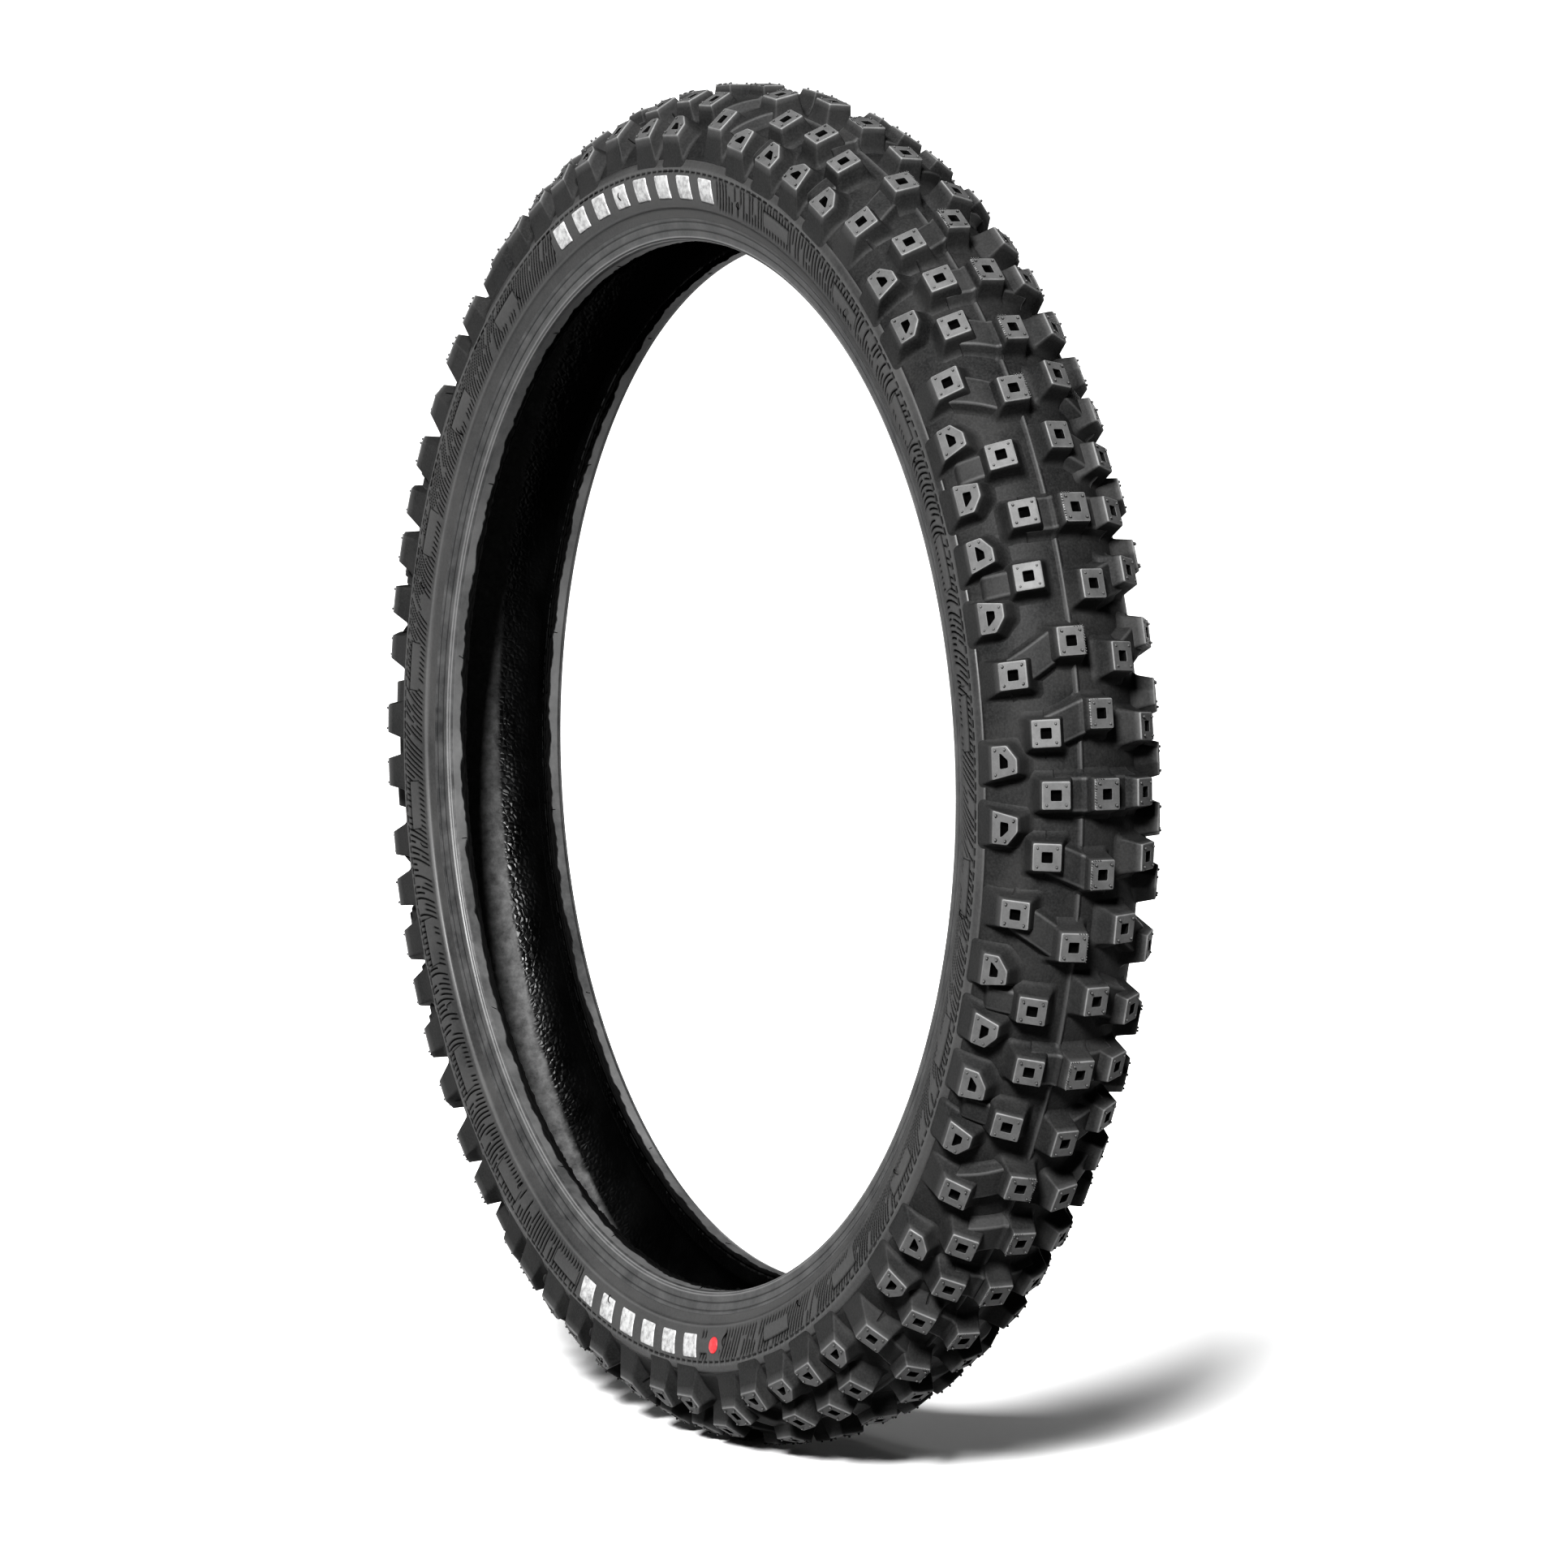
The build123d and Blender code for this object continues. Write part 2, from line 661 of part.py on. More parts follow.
# The balance dot, a round spot of paint that shows the tyre's lightest place
dot_lean = radians(band_lean(DOT_PLACE))
dot_foot = polar(band_centre, band_arc, degrees(dot_lean))
dot_plane = Plane(
    (dot_foot[1], -dot_foot[0], 0),
    x_dir=(0, 0, 1),
    z_dir=(cos(dot_lean), -sin(dot_lean), 0),
)
with BuildPart() as dot:
    add(right_mark)
    with BuildSketch(dot_plane):
        Circle(DOT_RADIUS)
    extrude(amount=2 * MARK_THICKNESS, both=True, mode=Mode.INTERSECT)

with BuildPart() as balance_dot:
    add(turned(dot.part, DOT_ANGLE))
balance_dot.part.label = "balance_dot"
export_step(balance_dot.part, "parts/balance_dot.step")
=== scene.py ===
from math import radians

import bpy
import numpy as np
from mathutils import Matrix, Vector


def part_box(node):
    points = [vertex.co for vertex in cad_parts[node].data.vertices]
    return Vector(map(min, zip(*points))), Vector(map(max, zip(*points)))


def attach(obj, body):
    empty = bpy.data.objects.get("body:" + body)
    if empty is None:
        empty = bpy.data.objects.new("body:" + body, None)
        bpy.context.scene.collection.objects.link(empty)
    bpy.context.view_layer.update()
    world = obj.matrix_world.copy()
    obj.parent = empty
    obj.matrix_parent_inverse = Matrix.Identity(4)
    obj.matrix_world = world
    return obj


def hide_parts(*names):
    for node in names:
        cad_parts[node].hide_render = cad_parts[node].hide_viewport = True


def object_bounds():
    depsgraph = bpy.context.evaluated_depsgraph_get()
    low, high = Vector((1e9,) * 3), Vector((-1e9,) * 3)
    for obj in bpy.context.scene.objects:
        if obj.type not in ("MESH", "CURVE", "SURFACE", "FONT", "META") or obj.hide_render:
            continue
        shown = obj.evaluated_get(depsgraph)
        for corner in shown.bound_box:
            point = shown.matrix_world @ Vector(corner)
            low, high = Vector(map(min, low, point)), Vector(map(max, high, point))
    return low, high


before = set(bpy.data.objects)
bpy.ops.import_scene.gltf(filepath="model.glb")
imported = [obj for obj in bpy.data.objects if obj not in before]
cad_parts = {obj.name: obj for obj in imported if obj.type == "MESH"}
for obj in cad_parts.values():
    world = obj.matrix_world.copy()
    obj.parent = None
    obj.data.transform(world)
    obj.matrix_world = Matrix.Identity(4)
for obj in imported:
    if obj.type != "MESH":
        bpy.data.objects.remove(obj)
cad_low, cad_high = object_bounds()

# Looks of an off-road motorcycle front tyre. Shapes are worked out in millimetres and written
# in metres. The axle is the Y axis, and an angle of 0 points along +X, 90 along +Z.
# A place on a cross-section is (lateral, radius), with the lateral rising to the right, -Y.
MM = 0.001
rng = np.random.default_rng(21)


def box_mm(node):
    """Lowest and highest corners of a CAD node, in millimetres."""
    low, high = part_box(node)
    return low / MM, high / MM


# ---------------------------------------------------------------- dimensions

SEAT_RADIUS = 266.0
TOP_CROWN = 345.5
TOP_ARC = 52.2
BASE_CROWN = box_mm("tread_base")[1].z
BASE_ARC = 46.8
TOP_CENTRE = (0.0, TOP_CROWN - TOP_ARC)
BASE_CENTRE = (0.0, BASE_CROWN - BASE_ARC)
PERIODS = 8
PERIOD = 360 / PERIODS
PHASE = 1.2
GLIDE = PERIOD / 2
ROOT_DEPTH = 14.0
POCKET_DEPTH = 3.0
POCKET = 5.0

CAVITY_CENTRE = (0.0, 288.0)
CAVITY_ARC = 38.0
CAVITY_SWEEP = 72.0
SIDE_ARC = 18.0
SIDE_END = 150.0
SIDE_OFFSET = CAVITY_ARC - SIDE_ARC
SIDE_CENTRE = (
    CAVITY_CENTRE[0] + SIDE_OFFSET * np.sin(radians(CAVITY_SWEEP)),
    CAVITY_CENTRE[1] + SIDE_OFFSET * np.cos(radians(CAVITY_SWEEP)),
)
LINER = 1.0
PLIES = 2.8
UNDERTREAD = 2.5
UNDERTREAD_EDGE = 58.0
TREAD_EDGE = 66.0

BEAD_INNER = 24.0
HEEL = 32.0
CHAFER = 1.2
CHAFER_TOP = 277.5
CORE_RIGHT = 31.6
CORE_FLOOR = 269.0

BAND_OUTER_RADIUS = 302.0
BAND_OUTER = ((BASE_ARC**2 - (BAND_OUTER_RADIUS - BASE_CENTRE[1]) ** 2) ** 0.5, BAND_OUTER_RADIUS)
BAND_MIDDLE = (43.6, 292.5)
BAND_INNER = (40.6, 283.0)
FLANGE_TOP = (39.4, 282.2)
FLANGE_MIDDLE = (36.6, 275.4)
FLANGE_FOOT = (34.9, 269.6)
HEEL_MIDDLE = (34.0, 267.1)
HEEL_STEPS = 15

MARK_RADII = (287.0, 299.0)
MARK_THICKNESS = 0.6
MARK_SWEEP = 3.0
MARK_PITCH = 4.4
MARK_GROUPS = ((97.2, 8), (-96.3, 6))
DOT_RADIUS = 4.2
DOT_PLACE = 292.5
DOT_ANGLE = -80.5

BAR_HEIGHT = 5.5
BAR_WIDTH = 15.5
BAR_DRAFT = 2.0
STRUT_HEIGHT = 3.5
STRUT_WIDTH = 11.0
STRUT = (29.0, 39.5)
RIB_LATERAL = 7.0
RIB_HEIGHT = 1.35
RIB_HALF = 1.9
BASE_SINK = 0.35  # how far a block's or bar's skirt goes under the tread base


# ---------------------------------------------------------------- geometry helpers


def polar(centre, radius, leans):
    """Points of a cross-section at a radius from a centre, for leans from the outward direction."""
    leans = np.radians(np.asarray(leans, float))
    return np.stack([centre[0] + radius * np.sin(leans), centre[1] + radius * np.cos(leans)], -1)


def circle_through(a, b, c):
    """Centre and radius of the circle through three points."""
    (ax, ay), (bx, by), (cx, cy) = a, b, c
    d = 2 * (ax * (by - cy) + bx * (cy - ay) + cx * (ay - by))
    a2, b2, c2 = ax**2 + ay**2, bx**2 + by**2, cx**2 + cy**2
    x = (a2 * (by - cy) + b2 * (cy - ay) + c2 * (ay - by)) / d
    y = (a2 * (cx - bx) + b2 * (ax - cx) + c2 * (bx - ax)) / d
    return (x, y), np.hypot(ax - x, ay - y)


def arc_through(a, b, c, count):
    """Points from a to c on the arc through b."""
    centre, radius = circle_through(a, b, c)
    first = np.degrees(np.arctan2(a[0] - centre[0], a[1] - centre[1]))
    last = np.degrees(np.arctan2(c[0] - centre[0], c[1] - centre[1]))
    return polar(centre, radius, np.linspace(first, last, count))


def travel_along(points):
    """Distance travelled along a line at each of its points."""
    return np.concatenate([[0], np.cumsum(np.hypot(*np.diff(points, axis=0).T))])


def resample(points, spacing):
    """The same line with points evenly spaced, and its ends kept."""
    points = np.asarray(points, float)
    travel = travel_along(points)
    count = max(2, int(round(travel[-1] / spacing)) + 1)
    places = np.linspace(0, travel[-1], count)
    return np.stack([np.interp(places, travel, points[:, axis]) for axis in (0, 1)], -1)


def normals(points):
    """Unit normals of a cross-section line that runs from the crown towards the bead."""
    step = np.gradient(points, axis=0)
    turned_step = np.stack([-step[:, 1], step[:, 0]], -1)
    return turned_step / np.linalg.norm(turned_step, axis=1)[:, None]


def smooth_step(low, high, value):
    t = np.clip((value - low) / (high - low), 0, 1)
    return t * t * (3 - 2 * t)


def smooth_noise(count, knots, seed):
    """Closed line of smooth random values from -1 to 1."""
    values = np.random.default_rng(seed).uniform(-1, 1, knots)
    place = np.arange(count) * knots / count
    low = place.astype(int)
    blend = smooth_step(0, 1, place - low)
    return values[low % knots] * (1 - blend) + values[(low + 1) % knots] * blend


def lattice(rows, columns, closed_rows=True, closed_columns=True):
    """Quads of a lattice of points stored row by row."""
    row, column = np.meshgrid(
        np.arange(rows if closed_rows else rows - 1),
        np.arange(columns if closed_columns else columns - 1),
        indexing="ij",
    )
    row_after, column_after = (row + 1) % rows, (column + 1) % columns
    corners = [
        row * columns + column,
        row_after * columns + column,
        row_after * columns + column_after,
        row * columns + column_after,
    ]
    return np.stack(corners, -1).reshape(-1, 4)


def make_piece(name, points, faces, values=None):
    """Object from points in millimetres, a list of face arrays and values at each point."""
    mesh = bpy.data.meshes.new(name)
    mesh.vertices.add(len(points))
    mesh.vertices.foreach_set("co", (np.asarray(points) * MM).astype(np.float32).ravel())
    corners = np.concatenate([face.ravel() for face in faces]).astype(np.int32)
    totals = np.concatenate([np.full(len(face), face.shape[1]) for face in faces])
    starts = np.concatenate([[0], np.cumsum(totals)[:-1]]).astype(np.int32)
    mesh.loops.add(len(corners))
    mesh.loops.foreach_set("vertex_index", corners)
    mesh.polygons.add(len(totals))
    mesh.polygons.foreach_set("loop_start", starts)
    for key, data in (values or {}).items():
        mesh.attributes.new(key, "FLOAT", "POINT").data.foreach_set(
            "value", np.asarray(data, np.float32)
        )
    mesh.update(calc_edges=True)
    mesh.shade_smooth()
    piece = bpy.data.objects.new(name, mesh)
    bpy.context.collection.objects.link(piece)
    return piece


def place(piece, material, slot, *nodes):
    """Give a piece its material and body, and hide the CAD nodes it stands for. The slot is not
    used.
    """
    piece.data.materials.append(material)
    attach(piece, "root")
    if nodes:
        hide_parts(*nodes)


def turned(points, angle):
    """Points turned about the axle by an angle that rises from +X towards +Z."""
    c, s = np.cos(radians(angle)), np.sin(radians(angle))
    x, y, z = points[..., 0], points[..., 1], points[..., 2]
    return np.stack([x * c - z * s, y, x * s + z * c], -1)


def spin(sections, side):
    """Points of a ring, from one cross-section for each step around. Side 1 is right, -1 left."""
    angles = np.linspace(0, 2 * np.pi, len(sections), endpoint=False)[:, None]
    lateral, radius = sections[..., 0], sections[..., 1]
    return np.stack([radius * np.cos(angles), -side * lateral, radius * np.sin(angles)], -1)


def ring(name, sections, side=1, values=None):
    """Closed ring from closed cross-sections, one for each step around the axle."""
    steps, count = sections.shape[:2]
    faces = lattice(steps, count)
    if side < 0:
        faces = faces[:, ::-1]
    return make_piece(name, spin(sections, side).reshape(-1, 3), [faces], values)


def on_base(points, height):
    """Points moved onto the tread base, or to a height above it."""
    around = np.arctan2(points[..., 2], points[..., 0])
    lateral = -points[..., 1]
    rise = np.hypot(points[..., 0], points[..., 2]) - BASE_CENTRE[1]
    scale = (BASE_ARC + height) / np.hypot(lateral, rise)
    radius = BASE_CENTRE[1] + rise * scale
    return np.stack([radius * np.cos(around), -lateral * scale, radius * np.sin(around)], -1)


def base_gap(points):
    """Height of points above the tread base."""
    rise = np.hypot(points[..., 0], points[..., 2]) - BASE_CENTRE[1]
    return np.hypot(points[..., 1], rise) - BASE_ARC


# ---------------------------------------------------------------- materials


def node(tree, kind, inputs=None, **settings):
    made = tree.nodes.new(kind)
    for key, value in settings.items():
        setattr(made, key, value)
    for key, value in (inputs or {}).items():
        if isinstance(value, bpy.types.NodeSocket):
            tree.links.new(value, made.inputs[key])
        else:
            made.inputs[key].default_value = value
    return made


def grey(value, tint=0.0):
    """Grey, a little warmer for a positive tint and a little cooler for a negative one."""
    return (value * (1 + tint), value, value * (1 - tint), 1)


def new_material(name):
    material = bpy.data.materials.new(name)
    material.use_nodes = True
    tree = material.node_tree
    shader = tree.nodes["Principled BSDF"]
    coordinates = node(tree, "ShaderNodeTexCoord").outputs["Object"]
    return material, tree, shader, coordinates


def noise(tree, coordinates, scale, detail=4.0, roughness=0.55):
    made = node(
        tree,
        "ShaderNodeTexNoise",
        {"Vector": coordinates, "Scale": scale, "Detail": detail, "Roughness": roughness},
    )
    return made.outputs["Fac"]


def ramp(tree, factor, low, high, dark, light):
    """Colour that passes from dark to light as the factor goes from low to high."""
    made = node(tree, "ShaderNodeValToRGB", {"Fac": factor})
    made.color_ramp.elements[0].position = low
    made.color_ramp.elements[0].color = dark
    made.color_ramp.elements[1].position = high
    made.color_ramp.elements[1].color = light
    return made.outputs["Color"]


def remap(tree, factor, low, high, new_low, new_high):
    inputs = {
        "Value": factor,
        "From Min": low,
        "From Max": high,
        "To Min": new_low,
        "To Max": new_high,
    }
    return node(tree, "ShaderNodeMapRange", inputs).outputs["Result"]


def mix(tree, factor, first, second, blend="MIX"):
    made = node(tree, "ShaderNodeMix", data_type="RGBA", blend_type=blend)
    for key, value in ((0, factor), (6, first), (7, second)):
        if isinstance(value, bpy.types.NodeSocket):
            tree.links.new(value, made.inputs[key])
        else:
            made.inputs[key].default_value = value
    return made.outputs[2]


def attribute(tree, name):
    return node(tree, "ShaderNodeAttribute", attribute_name=name).outputs["Fac"]


def bump(tree, shader, height, strength, distance, under=None):
    inputs = {"Height": height, "Strength": strength, "Distance": distance}
    if under is not None:
        inputs["Normal"] = under
    made = node(tree, "ShaderNodeBump", inputs)
    tree.links.new(made.outputs["Normal"], shader.inputs["Normal"])
    return made.outputs["Normal"]


def tread_rubber():
    """Moulded rubber with faint flow marks, paler scuffed tops with painted sheen, painted
    highlights along edges, painted shade in the pockets, and different on each block.
    """
    material, tree, shader, coordinates = new_material("tread_rubber")
    blotch = noise(tree, coordinates, 42.0, 5.0, 0.6)
    colour = ramp(tree, blotch, 0.3, 0.72, grey(0.009, -0.02), grey(0.027, 0.01))
    grain = noise(tree, coordinates, 900.0, 2.0)
    colour = mix(tree, remap(tree, grain, 0.35, 0.7, 0.0, 0.3), colour, grey(0.05))
    tone = remap(tree, attribute(tree, "tone"), 0.0, 1.0, 0.0, 0.25)
    colour = mix(tree, tone, colour, grey(0.05))
    # Positive values: scuff with painted sheen on tops and painted highlights along edges. Negative
    # values: painted shade in the pockets.
    wear_and_painted_light = attribute(tree, "wear_and_painted_light")
    scuff = remap(tree, noise(tree, coordinates, 110.0, 5.0, 0.65), 0.35, 0.7, 0.75, 1.25)
    scuff_and_highlight = node(tree, "ShaderNodeMath", {0: wear_and_painted_light, 1: scuff}, operation="MULTIPLY")
    colour = mix(tree, scuff_and_highlight.outputs["Value"], colour, grey(0.2))
    # Painted shade: the colour drops to about an eighth inside the pockets.
    painted_pocket_shading = remap(tree, wear_and_painted_light, PAINTED_POCKET_SHADE, 0.0, 0.12, 1.0)
    shade = node(tree, "ShaderNodeCombineColor", {"Red": painted_pocket_shading, "Green": painted_pocket_shading, "Blue": painted_pocket_shading})
    colour = mix(tree, 1.0, colour, shade.outputs["Color"], "MULTIPLY")
    tree.links.new(colour, shader.inputs["Base Color"])
    rough = remap(tree, blotch, 0.3, 0.75, 0.5, 0.66)
    tree.links.new(rough, shader.inputs["Roughness"])
    shine = remap(tree, wear_and_painted_light, -0.1, 0.3, 0.0, 0.35)
    tree.links.new(shine, shader.inputs["Specular IOR Level"])
    bump(tree, shader, grain, 0.25, 0.0002)
    return material


def sidewall_rubber():
    """Smoother rubber with smudges, painted shade in the grooves and paler lines along the band's
    edges.
    """
    material, tree, shader, coordinates = new_material("sidewall_rubber")
    smudge = noise(tree, coordinates, 18.0, 6.0, 0.62)
    colour = ramp(tree, smudge, 0.3, 0.7, grey(0.018, -0.01), grey(0.05, 0.01))
    grain = noise(tree, coordinates, 700.0, 3.0)
    colour = mix(tree, remap(tree, grain, 0.4, 0.75, 0.0, 0.35), colour, grey(0.06))
    # Painted shade: the grooves are darkened to near-black, and below they lose their shine.
    colour = mix(tree, attribute(tree, "darkening"), colour, grey(0.003))
    colour = mix(tree, attribute(tree, "wear_and_painted_light"), colour, grey(0.11))
    tree.links.new(colour, shader.inputs["Base Color"])
    rough = remap(tree, smudge, 0.3, 0.7, 0.42, 0.6)
    tree.links.new(rough, shader.inputs["Roughness"])
    shine = remap(tree, attribute(tree, "darkening"), 0.0, 0.8, 0.4, 0.0)
    tree.links.new(shine, shader.inputs["Specular IOR Level"])
    bump(tree, shader, grain, 0.2, 0.0002)
    return material


def chafer_rubber():
    """Bead rubber, rubbed grey and mottled on its seat, with painted highlights on the heel ridges
    and painted shade in the fringe and the face lines.
    """
    material, tree, shader, coordinates = new_material("chafer_rubber")
    mottle = noise(tree, coordinates, 60.0, 6.0, 0.7)
    colour = ramp(tree, mottle, 0.36, 0.68, grey(0.018, -0.02), grey(0.07, 0.0))
    # Paler where rubbed on the seat, and as painted highlight on the heel ridges.
    colour = mix(tree, attribute(tree, "wear_and_painted_light"), colour, grey(0.2))
    # Painted shade: near-black in the fringe and in the face lines.
    colour = mix(tree, attribute(tree, "darkening"), colour, grey(0.008))
    tree.links.new(colour, shader.inputs["Base Color"])
    rough = remap(tree, mottle, 0.3, 0.7, 0.36, 0.55)
    tree.links.new(rough, shader.inputs["Roughness"])
    shine = remap(tree, attribute(tree, "darkening"), 0.0, 0.8, 0.45, 0.0)
    tree.links.new(shine, shader.inputs["Specular IOR Level"])
    bump(tree, shader, noise(tree, coordinates, 300.0, 4.0), 0.3, 0.0004)
    return material


def liner_rubber():
    """Nearly black glossy liner, with the crackle that the moulding bladder leaves."""
    material, tree, shader, coordinates = new_material("liner_rubber")
    cells = node(
        tree,
        "ShaderNodeTexVoronoi",
        {"Vector": coordinates, "Scale": 330.0, "Randomness": 1.0},
        feature="DISTANCE_TO_EDGE",
    ).outputs["Distance"]
    haze = noise(tree, coordinates, 24.0, 5.0, 0.6)
    colour = ramp(tree, haze, 0.35, 0.72, grey(0.001), grey(0.004, -0.02))
    dull = attribute(tree, "dull")
    mottle = noise(tree, coordinates, 170.0, 6.0, 0.7)
    dusty = ramp(tree, mottle, 0.3, 0.72, grey(0.03), grey(0.11))
    tree.links.new(mix(tree, dull, colour, dusty), shader.inputs["Base Color"])
    gloss = remap(tree, haze, 0.3, 0.7, 0.24, 0.42)
    tree.links.new(remap(tree, dull, 0.0, 1.0, gloss, 0.6), shader.inputs["Roughness"])
    shader.inputs["Specular IOR Level"].default_value = 0.14
    ridges = remap(tree, cells, 0.0, 0.4, 1.0, 0.0)
    strength = remap(tree, dull, 0.0, 1.0, 0.5, 0.05)
    first = bump(tree, shader, ridges, strength, 0.0005)
    bump(tree, shader, noise(tree, coordinates, 260.0, 3.0), 0.3, 0.0004, first)
    return material


def filler_rubber():
    """Plain hard rubber inside the bead and under the tread."""
    material, tree, shader, coordinates = new_material("filler_rubber")
    grain = noise(tree, coordinates, 120.0)
    colour = ramp(tree, grain, 0.3, 0.7, grey(0.02), grey(0.045))
    tree.links.new(colour, shader.inputs["Base Color"])
    tree.links.new(remap(tree, grain, 0.3, 0.7, 0.55, 0.7), shader.inputs["Roughness"])
    return material


def cord_fabric(name, spacing, dark, light):
    """Rubbered textile with fine parallel cords."""
    material, tree, shader, coordinates = new_material(name)
    cords = node(
        tree,
        "ShaderNodeTexWave",
        {"Vector": coordinates, "Scale": spacing, "Distortion": 0.6, "Detail": 2.0},
        bands_direction="DIAGONAL",
    ).outputs["Fac"]
    colour = ramp(tree, cords, 0.2, 0.8, dark, light)
    tree.links.new(colour, shader.inputs["Base Color"])
    shader.inputs["Roughness"].default_value = 0.75
    bump(tree, shader, cords, 0.4, 0.0004)
    return material


def bead_steel():
    """Brass-tinted drawn wire."""
    material, tree, shader, coordinates = new_material("bead_steel")
    draw_marks = noise(tree, coordinates, 260.0)
    colour = ramp(
        tree, draw_marks, 0.3, 0.7, (0.36, 0.29, 0.19, 1), (0.55, 0.46, 0.31, 1)
    )
    tree.links.new(colour, shader.inputs["Base Color"])
    shader.inputs["Metallic"].default_value = 1.0
    tree.links.new(remap(tree, draw_marks, 0.3, 0.7, 0.28, 0.42), shader.inputs["Roughness"])
    return material


def white_rubber():
    """White inlaid rubber, a little grey and scuffed."""
    material, tree, shader, coordinates = new_material("white_rubber")
    scuff = noise(tree, coordinates, 320.0, 6.0, 0.7)
    colour = ramp(tree, scuff, 0.36, 0.58, grey(0.2), grey(0.4))
    tree.links.new(colour, shader.inputs["Base Color"])
    tree.links.new(remap(tree, scuff, 0.3, 0.7, 0.7, 0.5), shader.inputs["Roughness"])
    bump(tree, shader, scuff, 0.3, 0.0003)
    return material


def dot_paint():
    """Red marking paint with an uneven coat."""
    material, tree, shader, coordinates = new_material("dot_paint")
    coat = noise(tree, coordinates, 420.0, 5.0)
    colour = ramp(tree, coat, 0.3, 0.65, (0.36, 0.015, 0.02, 1), (0.62, 0.05, 0.06, 1))
    tree.links.new(colour, shader.inputs["Base Color"])
    tree.links.new(remap(tree, coat, 0.3, 0.7, 0.55, 0.4), shader.inputs["Roughness"])
    return material


PAINTED_POCKET_SHADE = -0.3  # value of a pocket's inside, where the colour is darkened as painted shade
TREAD = tread_rubber()
SIDEWALL = sidewall_rubber()
BEAD = chafer_rubber()
INNER = liner_rubber()
FILLER = filler_rubber()
PLY_FABRIC = cord_fabric("ply_fabric", 260.0, grey(0.03), (0.16, 0.13, 0.09, 1))
WRAP_FABRIC = cord_fabric("wrap_fabric", 420.0, grey(0.04), grey(0.14, 0.06))
STEEL = bead_steel()
WHITE = white_rubber()
RED = dot_paint()


# ---------------------------------------------------------------- tread blocks

CORNER_TURN = 6
EDGE_RUN = 3
BEVEL = 0.45
FILLET = 3.4
NUB_INSET = 2.1
NUB_RADIUS = 0.62
NUB_HEIGHT = 0.95
NUB_SIDES = 8
TOOTH_PITCH = 1.25


def shrink(corners, amount):
    """Convex outline with every edge moved inwards."""
    corners = np.asarray(corners, float)
    after = np.roll(corners, -1, axis=0)
    along = after - corners
    along /= np.linalg.norm(along, axis=1)[:, None]
    inward = np.stack([-along[:, 1], along[:, 0]], -1)
    start = corners + inward * amount
    moved = []
    for k in range(len(corners)):
        before = k - 1
        matrix = np.array([along[before], -along[k]]).T
        travel = np.linalg.solve(matrix, start[k] - start[before])[0]
        moved.append(start[before] + along[before] * travel)
    return np.array(moved)


def rounded(corners, radius):
    """Outline with rounded corners, and the same count of points for any radius."""
    corners = np.asarray(corners, float)
    count = len(corners)
    starts, ends = [], []
    for k in range(count):
        back = corners[k - 1] - corners[k]
        ahead = corners[(k + 1) % count] - corners[k]
        reach = min(radius, 0.45 * np.linalg.norm(back), 0.45 * np.linalg.norm(ahead))
        starts.append(corners[k] + back / np.linalg.norm(back) * reach)
        ends.append(corners[k] + ahead / np.linalg.norm(ahead) * reach)
    points = []
    turn = np.linspace(0, 1, CORNER_TURN)[:, None]
    run = np.linspace(0, 1, EDGE_RUN + 2)[1:-1, None]
    for k in range(count):
        points.append(
            (1 - turn) ** 2 * starts[k] + 2 * turn * (1 - turn) * corners[k] + turn**2 * ends[k]
        )
        points.append((1 - run) * ends[k] + run * starts[(k + 1) % count])
    return np.vstack(points)


def stand(lateral, outline, height):
    """Points at angle 0 on the right, from an outline in the plane of a block's top."""
    lean = np.arcsin(lateral / TOP_ARC)
    x, y = outline[..., 0], outline[..., 1]
    height = np.broadcast_to(height, x.shape)
    radius = TOP_CENTRE[1] + (TOP_ARC + height) * np.cos(lean) - y * np.sin(lean)
    sideways = (TOP_ARC + height) * np.sin(lean) + y * np.cos(lean)
    return np.stack([radius, -sideways, x], -1)


def meet_base(start, direction):
    """Distance along each direction from a start to the tread base."""
    low, high = np.zeros(len(start)), np.full(len(start), 30.0)
    for _ in range(40):
        middle = (low + high) / 2
        above = base_gap(start + direction * middle[:, None]) > 0
        low, high = np.where(above, middle, low), np.where(above, high, middle)
    return low


class Form:
    """Points, faces and values of one shape, gathered part by part."""

    def __init__(self):
        self.points, self.quads, self.triangles = [], [], []
        self.values = {"wear_and_painted_light": [], "lift": []}
        self.size = 0

    def rings(self, rings, wear_and_light_values, lift=0.0):
        """Add closed rings, one inside or above the next, with a cap at both ends."""
        rings = np.asarray(rings)
        count, sides = rings.shape[:2]
        first = self.size
        last_centre = first + count * sides + 1
        caps = [rings[0].mean(0), rings[-1].mean(0)]
        self.points.append(np.vstack([rings.reshape(-1, 3), caps]))
        self.quads.append(first + lattice(count, sides, closed_rows=False))
        here = np.arange(sides)
        after = (here + 1) % sides
        top = np.stack([np.full(sides, last_centre - 1), first + here, first + after], -1)
        base = first + (count - 1) * sides
        foot = np.stack([np.full(sides, last_centre), base + after, base + here], -1)
        self.triangles += [top, foot]
        self.values["wear_and_painted_light"].append(np.append(np.repeat(wear_and_light_values, sides), [wear_and_light_values[0], wear_and_light_values[-1]]))
        self.values["lift"].append(np.full(count * sides + 2, lift))
        self.size = last_centre + 1

    def arrays(self):
        return (
            np.vstack(self.points),
            np.vstack(self.quads),
            np.vstack(self.triangles),
            {key: np.concatenate(data) for key, data in self.values.items()},
        )


